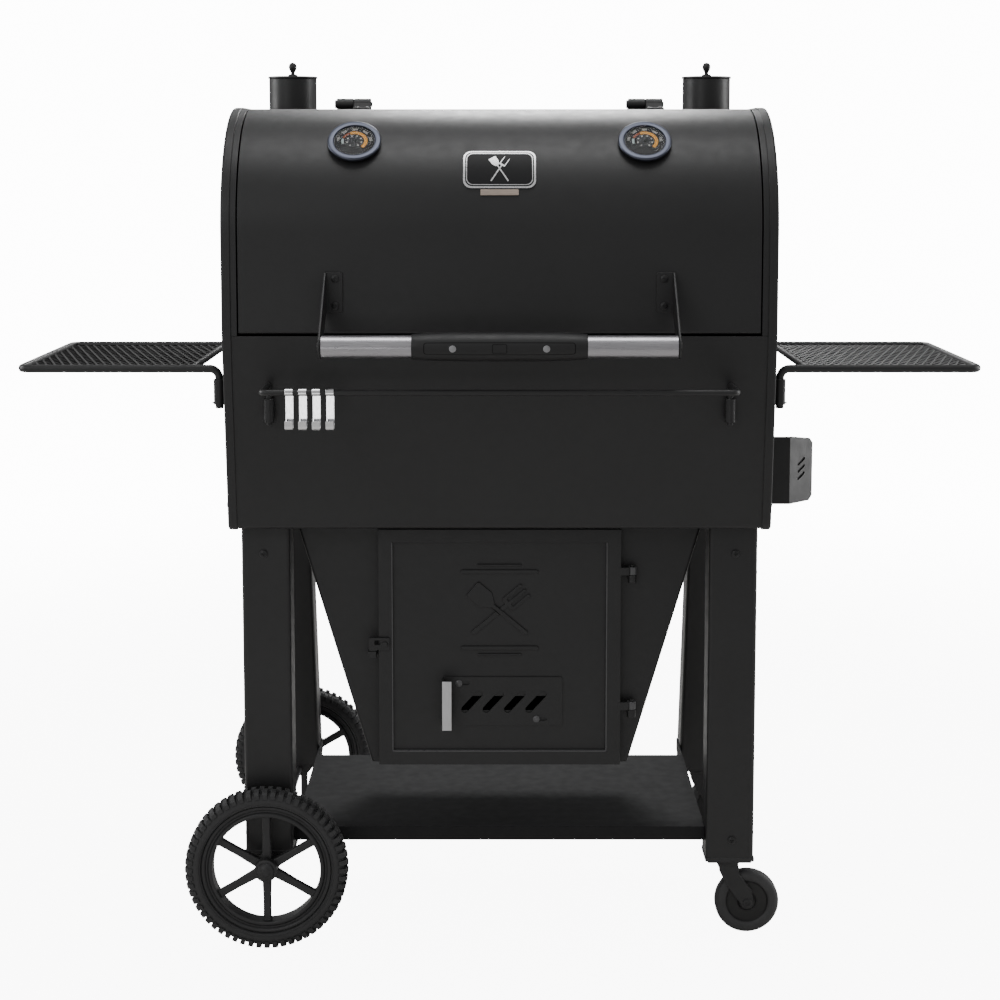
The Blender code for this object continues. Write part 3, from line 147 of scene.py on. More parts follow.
def spread(tree, value, low, high, target):
    """Send a value's middle range to a socket as a range of numbers."""
    node = new_node(tree, "MapRange", From_Min=0.3, From_Max=0.7, To_Min=low, To_Max=high)
    join(tree, (value, node.inputs["Value"]), (node.outputs["Result"], target))


def tint(tree, value, dark, light, target):
    """Send a value's middle range to a colour socket as a blend of two colours."""
    ramp = new_node(tree, "ValToRGB")
    for element, position, colour in zip(ramp.color_ramp.elements, (0.3, 0.7), (dark, light)):
        element.position = position
        element.color = (*colour, 1.0)
    join(tree, (value, ramp.inputs["Fac"]), (ramp.outputs["Color"], target))


def bump(tree, shader, value, strength, distance):
    """Add one layer of relief under the shader."""
    node = new_node(tree, "Bump", Strength=strength, Distance=distance)
    tree.links.new(value, node.inputs["Height"])
    earlier = shader.inputs["Normal"].links
    if earlier:
        tree.links.new(earlier[0].from_socket, node.inputs["Normal"])
    tree.links.new(node.outputs["Normal"], shader.inputs["Normal"])


def powder_coat(name, colour, roughness=0.50, grain=0.35, **inputs):
    """Satin powder coat: faint orange peel, fine grain and slightly uneven gloss."""
    material, tree, shader = new_material(name, colour, roughness=roughness, **inputs)
    tint(tree, noise(tree, 6.0), shade(colour, 0.90), shade(colour, 1.12), shader.inputs["Base Color"])
    spread(tree, noise(tree, 60.0), roughness - 0.035, roughness + 0.045, shader.inputs["Roughness"])
    bump(tree, shader, noise(tree, 420.0, detail=1.0), grain, 0.00012)
    bump(tree, shader, noise(tree, 2600.0, detail=0.0), grain, 0.00003)
    return material


def brushed(name, colour, stretch, roughness=0.30, strength=0.12):
    """Brushed metal with fine lines across the stretched axis."""
    material, tree, shader = new_material(name, colour, metallic=1.0, roughness=roughness)
    lines = noise(tree, 900.0, stretch)
    spread(tree, lines, roughness - 0.06, roughness + 0.10, shader.inputs["Roughness"])
    tint(tree, lines, shade(colour, 0.90), shade(colour, 1.06), shader.inputs["Base Color"])
    bump(tree, shader, lines, strength, 0.00003)
    return material


def moulded(name, colour, roughness=0.55, scale=1400.0, strength=0.25):
    """Moulded plastic or rubber with a fine leathery grain."""
    material, tree, shader = new_material(name, colour, roughness=roughness)
    cells = new_node(tree, "TexVoronoi", Scale=scale)
    join(tree, (new_node(tree, "TexCoord").outputs["Object"], cells.inputs["Vector"]))
    bump(tree, shader, cells.outputs["Distance"], strength, 0.00006)
    patches = noise(tree, 45.0)
    tint(tree, patches, shade(colour, 0.85), shade(colour, 1.15), shader.inputs["Base Color"])
    spread(tree, patches, roughness - 0.05, roughness + 0.06, shader.inputs["Roughness"])
    return material


def cast(name, colour):
    """Seasoned cast iron: pitted and slightly oily."""
    material, tree, shader = new_material(name, colour, metallic=0.35, roughness=0.55)
    rough = noise(tree, 240.0, detail=6.0)
    tint(tree, rough, shade(colour, 0.7), shade(colour, 1.5), shader.inputs["Base Color"])
    spread(tree, rough, 0.42, 0.68, shader.inputs["Roughness"])
    bump(tree, shader, rough, 0.5, 0.0003)
    return material


def printed(name, colour, roughness=0.45):
    """A printed or enamelled colour with a faint unevenness."""
    material, tree, shader = new_material(name, colour, roughness=roughness, Specular_IOR_Level=0.15)
    speckle = noise(tree, 700.0)
    tint(tree, speckle, shade(colour, 0.92), shade(colour, 1.05), shader.inputs["Base Color"])
    spread(tree, speckle, roughness - 0.04, roughness + 0.04, shader.inputs["Roughness"])
    bump(tree, shader, speckle, 0.06, 0.00002)
    return material


def clear_glass(name):
    """Thin clear glass with a trace of dust."""
    material, tree, shader = new_material(name, (0.96, 0.97, 0.98), roughness=0.03,
                                          Transmission_Weight=1.0, IOR=1.08)
    spread(tree, noise(tree, 300.0), 0.02, 0.06, shader.inputs["Roughness"])
    return material


# Each material comes with the record's slot that it takes its finish from.
BLACK = (powder_coat("black_powder_coat", (0.0125, 0.0125, 0.0130), 0.44), "black_paint")
SHELF_BLACK = (powder_coat("shelf_powder_coat", (0.0125, 0.0127, 0.0134), 0.72, 0.25, Specular_IOR_Level=0.25),
               "shelf_paint")
# A lighter copy of the black coat: a painted highlight for edges and knuckles where light catches them.
HIGHLIGHT_COAT = (powder_coat("painted_edge_highlight_coat", (0.085, 0.085, 0.088), 0.30), "black_paint")
# A near-black sheet colour: painted shade, set behind see-through parts where only shade lies.
DARK = (powder_coat("painted_shade_black", (0.005, 0.005, 0.005), 0.75), "black_paint")
STEEL = (brushed("brushed_tube_steel", (0.45, 0.44, 0.46), (0.04, 1.0, 1.0)), "steel")
TAB_STEEL = (brushed("brushed_tab_steel", (0.62, 0.62, 0.63), (1.0, 1.0, 0.05), 0.36), "steel")
AXLE_STEEL = (brushed("turned_axle_steel", (0.42, 0.42, 0.43), (1.0, 0.05, 1.0), 0.34), "steel")
CHROME = (brushed("polished_hook_steel", (0.86, 0.86, 0.87), (1.0, 1.0, 0.3), 0.10, 0.04), "hook_steel")
GRIP = (moulded("grip_plastic", (0.0075, 0.0075, 0.0080), 0.50), "grip")
GROOVE = (printed("groove_shadow", (0.004, 0.004, 0.004), 0.7), "grip")
RIVET = (brushed("rivet_metal", (0.34, 0.34, 0.35), (1.0, 1.0, 1.0), 0.42), "grip")
IRON = (cast("seasoned_iron", (0.028, 0.027, 0.026)), "iron")
TYRE = (moulded("tyre_rubber", (0.026, 0.026, 0.027), 0.62, 900.0, 0.35), "tyre")
RIM = (moulded("wheel_plastic", (0.017, 0.017, 0.018), 0.44), "wheel_plastic")
CASTER_GREY = (moulded("caster_tread", (0.034, 0.034, 0.035), 0.55), "caster_rubber")
CASTER_DARK = (moulded("caster_core", (0.006, 0.006, 0.006), 0.48), "caster_rubber")
BEZEL = (brushed("bezel_steel", (0.088, 0.095, 0.122), (1.0, 1.0, 1.0), 0.33, 0.05), "bezel")
DIAL = (printed("dial_black", (0.008, 0.008, 0.008), 0.4), "bezel")
DIAL_GREY = (printed("dial_grey", (0.030, 0.030, 0.032), 0.4), "bezel")
WHITE = (printed("dial_white", (0.66, 0.64, 0.59)), "bezel")
TICK_GREY = (printed("dial_tick_grey", (0.11, 0.11, 0.11)), "bezel")
AMBER = (printed("dial_amber", (0.80, 0.36, 0.055)), "bezel")
RUST = (printed("dial_rust", (0.34, 0.085, 0.040)), "bezel")
PALE = (printed("dial_pale", (0.42, 0.50, 0.48)), "bezel")
GLASS = (clear_glass("gauge_glass"), "bezel")
SILVER = (brushed("badge_silver", (0.80, 0.80, 0.81), (1.0, 1.0, 1.0), 0.28, 0.05), "badge")
ENAMEL = (printed("badge_enamel", (0.020, 0.020, 0.021), 0.35), "badge")
TAN = (brushed("badge_bar_metal", (0.50, 0.42, 0.36), (0.1, 1.0, 1.0), 0.40), "badge")


# ---- Mesh helpers -------------------------------------------------------------------------------------

def skin(loops, ring=False):
    """Join matching loops of points with quads, capped at both ends or closed to a ring."""
    mesh = bmesh.new()
    rows = [[mesh.verts.new(point) for point in loop] for loop in loops]
    pairs = list(zip(rows, rows[1:]))
    if ring:
        pairs.append((rows[-1], rows[0]))
    for first, second in pairs:
        count = max(len(first), len(second))
        for k in range(count):
            n = (k + 1) % count
            corners = list(dict.fromkeys((first[k % len(first)], first[n % len(first)],
                                          second[n % len(second)], second[k % len(second)])))
            if len(corners) > 2:
                mesh.faces.new(corners)
    if not ring:
        for row in (rows[0], rows[-1]):
            if len(row) > 2:
                mesh.faces.new(row)
    bmesh.ops.recalc_face_normals(mesh, faces=mesh.faces[:])
    return mesh


def pointing(direction, place):
    """The matrix that turns Z to a direction and moves the origin to a place."""
    turn = Vector(direction).to_track_quat("Z", "Y").to_matrix().to_4x4()
    return Matrix.Translation(place) @ turn


def turned(profile, turn=None, segments=64, ring=False):
    """A solid turned about Z from (radius, height) points."""
    loops = []
    for radius, height in profile:
        if radius == 0.0:
            loops.append([(0.0, 0.0, height)])
            continue
        steps = [2.0 * math.pi * k / segments for k in range(segments)]
        loops.append([(radius * math.cos(a), radius * math.sin(a), height) for a in steps])
    mesh = skin(loops, ring)
    if turn is not None:
        bmesh.ops.transform(mesh, matrix=turn, verts=mesh.verts)
    return mesh


def rod(radius, start, end, chamfer=0.0, segments=40):
    """A round bar with eased ends."""
    start, end = Vector(start), Vector(end)
    length = (end - start).length
    profile = [(0.0, 0.0)]
    if chamfer > 0.0:
        c = chamfer
        profile += [(radius - c, 0.0), (radius - 0.3 * c, 0.3 * c), (radius, c),
                    (radius, length - c), (radius - 0.3 * c, length - 0.3 * c), (radius - c, length)]
    else:
        profile += [(radius, 0.0), (radius, length)]
    profile.append((0.0, length))
    return turned(profile, pointing(end - start, start), segments)


def disc(radius, low, high, segments):
    """A plain round plate about Z between two heights."""
    return turned([(0.0, low), (radius, low), (radius, high), (0.0, high)], segments=segments)


def pipe(radius, bore, start, end, e, segments=48):
    """A round tube with rims eased by e."""
    start, end = Vector(start), Vector(end)
    length = (end - start).length
    profile = [(radius - e, 0.0), (radius, e), (radius, length - e), (radius - e, length),
               (bore + e, length), (bore, length - e), (bore, e), (bore + e, 0.0)]
    return turned(profile, pointing(end - start, start), segments, ring=True)


def block(low, high):
    """A box between two corners, to be bevelled by its piece."""
    x0, y0, z0 = low
    x1, y1, z1 = high
    lower = [(x0, y0, z0), (x1, y0, z0), (x1, y1, z0), (x0, y1, z0)]
    return skin([lower, [(x, y, z1) for x, y, _ in lower]])


def prism(outline, axis, start, end, holes=()):
    """A straight solid of any outline with holes, run along an axis."""
    place = {
        "X": lambda a, b, along: (along, a, b),
        "Y": lambda a, b, along: (a, along, b),
        "Z": lambda a, b, along: (a, b, along),
    }[axis]
    mesh = bmesh.new()
    if holes:
        for loop in (outline, *holes):
            row = [mesh.verts.new(place(a, b, start)) for a, b in loop]
            for first, second in zip(row, row[1:] + row[:1]):
                mesh.edges.new((first, second))
        bmesh.ops.triangle_fill(mesh, use_beauty=True, use_dissolve=False, edges=mesh.edges[:])
    else:
        mesh.faces.new([mesh.verts.new(place(a, b, start)) for a, b in outline])
    grown = bmesh.ops.extrude_face_region(mesh, geom=mesh.faces[:])
    moved = [item for item in grown["geom"] if isinstance(item, bmesh.types.BMVert)]
    bmesh.ops.translate(mesh, vec=Vector(place(0.0, 0.0, end - start)), verts=moved)
    bmesh.ops.recalc_face_normals(mesh, faces=mesh.faces[:])
    return mesh


def circle(radius, centre=(0.0, 0.0), segments=48, start=0.0, sweep=2.0 * math.pi):
    """Points along a circle, or part of one with both ends."""
    whole = abs(sweep - 2.0 * math.pi) < 1e-9
    divisions = segments if whole else segments - 1
    angles = [start + sweep * k / divisions for k in range(segments)]
    return [(centre[0] + radius * math.cos(a), centre[1] + radius * math.sin(a)) for a in angles]


def stadium(first, second, half, steps=12):
    """A slot with round ends, between its end centres."""
    angle = math.atan2(second[1] - first[1], second[0] - first[0])
    near = circle(half, first, steps, angle + math.pi / 2, math.pi)
    return near + circle(half, second, steps, angle - math.pi / 2, math.pi)


def rounded(low, high, radius, steps=6):
    """A rectangle with round corners."""
    x0, y0, x1, y1 = low[0] + radius, low[1] + radius, high[0] - radius, high[1] - radius
    outline = []
    for k, centre in enumerate(((x1, y1), (x0, y1), (x0, y0), (x1, y0))):
        outline += circle(radius, centre, steps, math.pi / 2 * k, math.pi / 2)
    return outline


def bent_route(corners, bend, steps=10):
    """A route through corners whose inner corners are rounded."""
    corners = [Vector(corner) for corner in corners]
    route = [corners[0]]
    for before, corner, after in zip(corners, corners[1:], corners[2:]):
        to_start = (before - corner).normalized()
        to_end = (after - corner).normalized()
        half_angle = to_start.angle(to_end) / 2.0
        reach = bend / math.tan(half_angle)
        centre = corner + (to_start + to_end).normalized() * (bend / math.sin(half_angle))
        first = (corner + to_start * reach - centre).normalized()
        last = (corner + to_end * reach - centre).normalized()
        route += [centre + first.slerp(last, k / steps) * bend for k in range(steps + 1)]
    route.append(corners[-1])
    return route


def swept(route, radius, sides=24, ease=0.0):
    """A round bar bent along a route; ease rounds its two ends."""
    route = [Vector(point) for point in route]
    sizes = [radius] * len(route)
    if ease > 0.0:
        for end, step in ((0, 1), (-1, -2)):
            tip, inner = route[end], route[step]
            along = (inner - tip).normalized()
            near = tip + along * ease
            if end == 0:
                route[1:1], sizes[1:1] = [near], [radius]
                sizes[0] = radius - ease
            else:
                route.insert(len(route) - 1, near)
                sizes.insert(len(sizes) - 1, radius)
                sizes[-1] = radius - ease
    ahead = [(after - before).normalized() for before, after in zip(route, route[1:])]
    tangents = [ahead[0]] + [(a + b).normalized() for a, b in zip(ahead, ahead[1:])] + [ahead[-1]]
    side = tangents[0].orthogonal().normalized()
    loops = []
    for point, tangent, size in zip(route, tangents, sizes):
        side = (side - tangent * side.dot(tangent)).normalized()
        other = tangent.cross(side)
        angles = [2.0 * math.pi * k / sides for k in range(sides)]
        loops.append([point + side * (size * math.cos(a)) + other * (size * math.sin(a)) for a in angles])
    return skin(loops)


def folded(outer, inner, x_start, x_end):
    """A sheet along X with its faces given as matching (y, z) lines."""
    return skin([[(x_start, *far), (x_end, *far), (x_end, *near), (x_start, *near)]
                 for far, near in zip(outer, inner)])


def merged(*meshes):
    """Several meshes in one."""
    whole = bmesh.new()
    for mesh in meshes:
        data = bpy.data.meshes.new("part")
        mesh.to_mesh(data)
        mesh.free()
        whole.from_mesh(data)
        bpy.data.meshes.remove(data)
    return whole


def moved(mesh, matrix):
    """The same mesh after a transform."""
    bmesh.ops.transform(mesh, matrix=matrix, verts=mesh.verts)
    if matrix.determinant() < 0:
        bmesh.ops.reverse_faces(mesh, faces=mesh.faces[:])
    return mesh


def carved(mesh, cutters, operation="DIFFERENCE"):
    """A mesh after Booleans with other meshes."""
    made = []
    for part in (mesh, *cutters):
        data = bpy.data.meshes.new("carve")
        part.to_mesh(data)
        part.free()
        thing = bpy.data.objects.new("carve", data)
        bpy.context.scene.collection.objects.link(thing)
        made.append(thing)
    for cutter in made[1:]:
        modifier = made[0].modifiers.new("carve", "BOOLEAN")
        modifier.operation = operation
        modifier.solver = "EXACT"
        modifier.object = cutter
    bpy.context.view_layer.update()
    evaluated = made[0].evaluated_get(bpy.context.evaluated_depsgraph_get())
    result = bmesh.new()
    result.from_mesh(evaluated.to_mesh())
    evaluated.to_mesh_clear()
    for thing in made:
        data = thing.data
        bpy.data.objects.remove(thing)
        bpy.data.meshes.remove(data)
    bmesh.ops.remove_doubles(result, verts=result.verts, dist=1e-6)
    bmesh.ops.dissolve_limit(result, angle_limit=math.radians(0.5), verts=result.verts, edges=result.edges)
    return result


def sliced(mesh, axis, span, cell):
    """Cut a mesh with evenly spaced planes across an axis, ready to be wrapped on a curve."""
    for k in range(int(2 * span / cell) + 1):
        spot, normal = [0.0, 0.0, 0.0], [0.0, 0.0, 0.0]
        spot[axis], normal[axis] = -span + cell * k, 1.0
        bmesh.ops.bisect_plane(mesh, geom=mesh.verts[:] + mesh.edges[:] + mesh.faces[:],
                               plane_co=spot, plane_no=normal)


def ease_edges(thing, width, clamp=True):
    """Round a piece's sharp edges and keep its flat faces flat-looking."""
    if width > 0.0:
        bevel = thing.modifiers.new("eased_edges", "BEVEL")
        bevel.width = width
        bevel.segments = 2
        bevel.limit_method = "ANGLE"
        bevel.angle_limit = math.radians(35.0)
        bevel.use_clamp_overlap = clamp
    normals = thing.modifiers.new("flat_faces", "WEIGHTED_NORMAL")
    normals.keep_sharp = True
    normals.weight = 60


def piece(name, mesh, finish, body, nodes=(), ease=0.0, sharp=35.0, clamp=True):
    """One visible piece: its mesh, finish, body and the CAD nodes that it stands for."""
    material, slot = finish
    data = bpy.data.meshes.new(name)
    mesh.to_mesh(data)
    mesh.free()
    data.shade_smooth()
    if ease == 0.0:
        data.set_sharp_from_angle(angle=math.radians(sharp))
    data.materials.append(material)
    thing = bpy.data.objects.new(name, data)
    bpy.context.scene.collection.objects.link(thing)
    ease_edges(thing, ease, clamp)
    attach(thing, body)
    if nodes:
        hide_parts(*([nodes] if isinstance(nodes, str) else nodes))
    return thing


def dress(node, finish, ease):
    """Give a CAD node its finish and eased edges."""
    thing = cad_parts[node]
    material, _ = finish
    data = thing.data
    data.materials.clear()
    data.materials.append(material)
    custom = data.attributes.get("custom_normal")
    if custom:
        data.attributes.remove(custom)
    data.shade_smooth()
    weld = thing.modifiers.new("weld", "WELD")
    weld.merge_threshold = 0.00001
    planar = thing.modifiers.new("planar", "DECIMATE")
    planar.decimate_type = "DISSOLVE"
    planar.angle_limit = math.radians(0.5)
    ease_edges(thing, ease)


# ---- Fasteners ----------------------------------------------------------------------------------------

def phillips(radius, place, direction):
    """A pan-head screw with a cross recess, its underside at a place."""
    height = radius * 0.52
    dome = [(0.0, 0.0), (radius, 0.0), (radius, height * 0.35), (radius * 0.93, height * 0.68),
            (radius * 0.70, height * 0.93), (radius * 0.35, height), (0.0, height)]
    head = turned(dome, segments=32)
    reach, half = radius * 0.58, radius * 0.13
    cross = [(half, half), (half, reach), (-half, reach), (-half, half), (-reach, half), (-reach, -half),
             (-half, -half), (-half, -reach), (half, -reach), (half, -half), (reach, -half), (reach, half)]
    recess = prism(cross, "Z", height * 0.35, height * 2.0)
    return moved(carved(head, [recess]), pointing(direction, place))


# ---- The barrel ---------------------------------------------------------------------------------------

def tub_wall(z):
    """How far the tub's front wall stands behind the barrel's front at a height."""
    return WALL_LEAN * (SEAM_Z - z) / (SEAM_Z - LOW_Z)


def arch(grow, low_z, last, steps=40):
    """The upper section as (y, z) points, front to back, up to a last distance."""
    line = [(-grow, low_z), (-grow, FRONT_ARC_Z)]
    for k in range(1, steps + 1):
        angle = math.pi - math.pi / 2.0 * k / steps
        radius = FRONT_ARC + grow
        line.append((FRONT_ARC + radius * math.cos(angle), FRONT_ARC_Z + radius * math.sin(angle)))
    if last < DEPTH - REAR_ARC:
        line.append((last, TOP_Z + grow))
    else:
        for k in range(steps + 1):
            angle = math.pi / 2.0 * (1.0 - k / steps)
            radius = REAR_ARC + grow
            line.append((DEPTH - REAR_ARC + radius * math.cos(angle), REAR_ARC_Z + radius * math.sin(angle)))
        line.append((DEPTH + grow, low_z))
    return [(back(distance), z) for distance, z in line]


def tub_corner(grow, bend=0.006, steps=6):
    """The tub's front and lower corner, with a bend, as (distance, z) points from the seam down."""
    slope = WALL_LEAN / (SEAM_Z - LOW_Z)
    sideways = grow * math.hypot(1.0, slope)
    low = LOW_Z - grow
    lean = math.atan(slope)
    radius = bend + grow
    height = low + radius
    wall_at = tub_wall(height) - sideways
    centre = (wall_at + radius / math.cos(lean), height)
    line = [(tub_wall(SEAM_Z) - sideways, SEAM_Z - 0.0003)]
    for k in range(steps + 1):
        angle = math.pi + lean + (math.pi / 2.0 - lean) * k / steps
        line.append((centre[0] + radius * math.cos(angle), centre[1] + radius * math.sin(angle)))
    return line


def make_barrel():
    """The tub, the upper sheet and the lid, each of bent sheet."""
    hole_half, hole_front, hole_back = 0.300, 0.122, 0.392
    parts = []
    for edge, place in ((hole_front, back), (DEPTH - hole_back, lambda distance: back(DEPTH - distance))):
        outer = [(place(d), z) for d, z in tub_corner(0.0) + [(edge, LOW_Z)]]
        inner = [(place(d), z) for d, z in tub_corner(-SHEET) + [(edge, LOW_Z + SHEET)]]
        parts.append(folded(outer, inner, -SHELL_HALF, SHELL_HALF))
    for _, side in SIDES:
        xs = sorted((side * hole_half, side * SHELL_HALF))
        parts.append(block((xs[0], back(hole_front), LOW_Z), (xs[1], back(hole_back), LOW_Z + SHEET)))
    piece("tub_sheet", merged(*parts), BLACK, "cart", "lower_tub", ease=0.0005)

    shell = folded(arch(0.0, SEAM_Z, DEPTH), arch(-SHEET, SEAM_Z, DEPTH), -SHELL_HALF, SHELL_HALF)
    holes = [block((-LID_OPENING_HALF, back(-0.05), SEAM_Z - 0.05),
                   (LID_OPENING_HALF, back(LID_BACK + 0.0015), TOP_Z + 0.05))]
    for _, side in SIDES:
        place = (side * STACK_X, back(STACK_BACK))
        holes.append(rod(STACK_RADIUS + 0.0003, (*place, 1.15), (*place, 1.40)))
    piece("upper_sheet", carved(shell, holes), BLACK, "cart", "upper_shell", ease=0.0005)
    lap, inside = 0.009, DEPTH - SHEET + 0.0002
    line = [(inside, SEAM_Z + lap), (inside, SEAM_Z), (inside - tub_wall(SEAM_Z - lap), SEAM_Z - lap)]
    line += [(distance - 0.0012, z) for distance, z in line[::-1]]
    strip = prism([(back(distance), z) for distance, z in line], "X", 0.001 - SHELL_HALF, SHELL_HALF - 0.001)
    piece("rear_lap_strip", strip, BLACK, "cart")
    collars = [seam_ring(side * STACK_X, back(STACK_BACK), STACK_RADIUS + 0.0012, 0.0016) for _, side in SIDES]
    piece("stack_weld_beads", merged(*collars), BLACK, "cart")

    lip = 0.012
    outer = [(back(lip), LID_LOW_Z)] + lid_front(0.0) + arch(0.0, LID_LOW_Z + 0.005, LID_BACK)[1:]
    inner = [(back(lip), LID_LOW_Z + SHEET)] + lid_front(-SHEET) + arch(-SHEET, LID_LOW_Z + 0.005, LID_BACK)[1:]
    lid = folded(outer, inner, -LID_HALF, LID_HALF)
    piece("lid_sheet", lid, BLACK, "lid", "lid", ease=0.0005)
    make_hinges()


def lid_front(grow, bend=0.004, steps=5):
    """The rolled lower edge of the lid's front, as (y, z) points."""
    radius = bend + grow
    centre = (back(bend), LID_LOW_Z + bend)
    line = []
    for k in range(steps + 1):
        angle = -math.pi / 2.0 - math.pi / 2.0 * k / steps
        line.append((centre[0] + radius * math.cos(angle), centre[1] + radius * math.sin(angle)))
    return line


def seam_ring(x, y, radius, thick, steps=72, sides=10):
    """A thin weld bead where an upright tube meets the barrel's rear roof."""
    loops = []
    for k in range(steps):
        angle = 2.0 * math.pi * k / steps
        px, py = x + radius * math.cos(angle), y + radius * math.sin(angle)
        z = roof(py - FRONT_Y)
        ring = []
        for j in range(sides):
            turn = 2.0 * math.pi * j / sides
            outwards = thick * math.cos(turn)
            ring.append((px + outwards * math.cos(angle), py + outwards * math.sin(angle),
                         z + thick * math.sin(turn)))
        loops.append(ring)
    return skin(loops, ring=True)


def roof(distance):
    """Height of the barrel's outside at a distance back."""
    if distance < FRONT_ARC:
        return FRONT_ARC_Z + math.sqrt(max(0.0, FRONT_ARC ** 2 - (FRONT_ARC - distance) ** 2))
    if distance > DEPTH - REAR_ARC:
        across = distance - (DEPTH - REAR_ARC)
        return REAR_ARC_Z + math.sqrt(max(0.0, REAR_ARC ** 2 - across ** 2))
    return TOP_Z


def make_hinges():
    """The lid's two butt hinges: leaves, knuckles, pins and screws."""
    y, knuckle, radius = back(HINGE_BACK), 0.027, 0.009

    def leaf_screws(x_middle, distance):
        return [phillips(0.0036, (x_middle + dx, back(distance), TOP_Z + 0.0038), (0, 0, 1))
                for dx in (-0.0075, 0.0075)]

    for word, side in SIDES:
        x_low = side * HINGE_X + 0.0003
        x_high = x_low + knuckle
        leaf = block((x_low, back(LID_BACK - 0.030), TOP_Z - 0.0005),
                     (x_high, back(LID_BACK - 0.0005), TOP_Z + 0.004))
        arm = prism([(back(LID_BACK - 0.012), TOP_Z + 0.003), (back(LID_BACK - 0.0005), TOP_Z + 0.001),
                     (y - 0.0052, HINGE_Z - 0.0052), (y - 0.0052, HINGE_Z + 0.0052)], "X", x_low, x_high)
        piece(f"{word}_lid_hinge_leaf", merged(leaf, arm), BLACK, "lid", ease=0.0010)
        barrel = pipe(radius, 0.0044, (x_low, y, HINGE_Z), (x_high, y, HINGE_Z), 0.0008)
        screws = leaf_screws((x_low + x_high) / 2.0, LID_BACK - 0.021)
        piece(f"{word}_lid_hinge_knuckle", merged(barrel, *screws), BLACK, "lid")
        x_high = side * HINGE_X - 0.0003
        x_low = x_high - knuckle
        foot = block((x_low, y, TOP_Z + 0.0003), (x_high, back(HINGE_BACK + 0.026), TOP_Z + 0.004))
        piece(f"{word}_fixed_hinge_leaf", foot, BLACK, "cart", ease=0.0010)
        hub = rod(radius, (x_low, y, HINGE_Z), (x_high, y, HINGE_Z), 0.0008)
        pin = rod(0.004, (x_high - 0.004, y, HINGE_Z), (x_high + 0.0006 + knuckle + 0.002, y, HINGE_Z), 0.0008)
        head = rod(0.0065, (x_low - 0.003, y, HINGE_Z), (x_low + 0.001, y, HINGE_Z), 0.0008)
        screws = leaf_screws((x_low + x_high) / 2.0, HINGE_BACK + 0.0175)
        piece(f"{word}_fixed_hinge_barrel", merged(hub, pin, head, *screws), BLACK, "cart", f"{word}_lid_hinge")


def end_outline(grow, steps=40):
    """The barrel's whole end outline, grown outwards, with eased lower corners."""
    upper = arch(grow, SEAM_Z, DEPTH, steps)
    corner = tub_corner(grow, 0.010)[1:]
    front = [(back(d), z) for d, z in corner]
    rear = [(back(DEPTH - d), z) for d, z in corner]
    return upper + rear + front[::-1]


def make_end_caps():
    """The two end plates: a rolled rim over the sheets, shelf sleeves and bolts."""
    grow = 0.0023
    for word, side in SIDES:
        face = side * CAP_HALF
        profile = [(0.0, -0.0022), (0.0003, -0.0006), (0.0013, 0.0012), (0.0030, grow - 0.0002), (0.0042, grow),
                   (FLANGE - 0.0006, grow), (FLANGE, grow - 0.0006), (FLANGE, 0.0003), (SHEET, 0.0003)]
        cap = skin([[(face - side * inwards, y, z) for y, z in end_outline(wide)] for inwards, wide in profile])
        if word == "right":
            place = (back(PORT_BACK), PORT_Z)
            cap = carved(cap, [rod(0.018, (face - 0.01, *place), (face + 0.01, *place))])
        piece(f"{word}_end_plate", cap, BLACK, "cart", f"{word}_end_cap", sharp=30.0)
        fittings = []
        for distance in (SHELF_FRONT, SHELF_REAR):
            y = back(distance)
            low, high = 0.8430, 0.8815
            x = side * SLEEVE_X
            fittings.append(pipe(0.0085, 0.0064, (x, y, low), (x, y, high), 0.0007))
            xs = sorted((face - side * 0.0005, side * (SLEEVE_X - 0.0070)))
            fittings.append(block((xs[0], y - 0.005, low + 0.003), (xs[1], y + 0.005, high - 0.003)))
            fittings.append(rod(0.0012, (x - 0.0105, y - 0.001, low + 0.003), (x + 0.0105, y - 0.001, low + 0.003),
                                0.0004, 12))
        bolts = [(0.030, 0.983), (DEPTH - 0.030, 0.983), (0.052, 0.690), (DEPTH - 0.052, 0.690)]
        for distance, z in bolts:
            fittings.append(phillips(0.0050, (face, back(distance), z), (side, 0, 0)))
        piece(f"{word}_end_fittings", merged(*fittings), BLACK, "cart")


# ---- Lid fittings -------------------------------------------------------------------------------------

def sector(inner, outer, start, end, low, high, steps=24):
    """A flat piece of a ring, drawn about Z between two angles in degrees."""
    outline = circle(outer, (0.0, 0.0), steps, math.radians(start), math.radians(end - start))
    outline += circle(inner, (0.0, 0.0), steps, math.radians(end), math.radians(start - end))
    return prism(outline, "Z", low, high)


def lettering(text, size, depth):
    """Numbers as a mesh, centred on the origin."""
    curve = bpy.data.curves.new("numbers", "FONT")
    curve.body = text
    curve.size = size
    curve.align_x = "CENTER"
    curve.align_y = "CENTER"
    curve.extrude = depth
    curve.resolution_u = 2
    thing = bpy.data.objects.new("numbers", curve)
    bpy.context.scene.collection.objects.link(thing)
    bpy.context.view_layer.update()
    evaluated = thing.evaluated_get(bpy.context.evaluated_depsgraph_get())
    mesh = bmesh.new()
    mesh.from_mesh(evaluated.to_mesh())
    evaluated.to_mesh_clear()
    bpy.data.objects.remove(thing)
    bpy.data.curves.remove(curve)
    return mesh


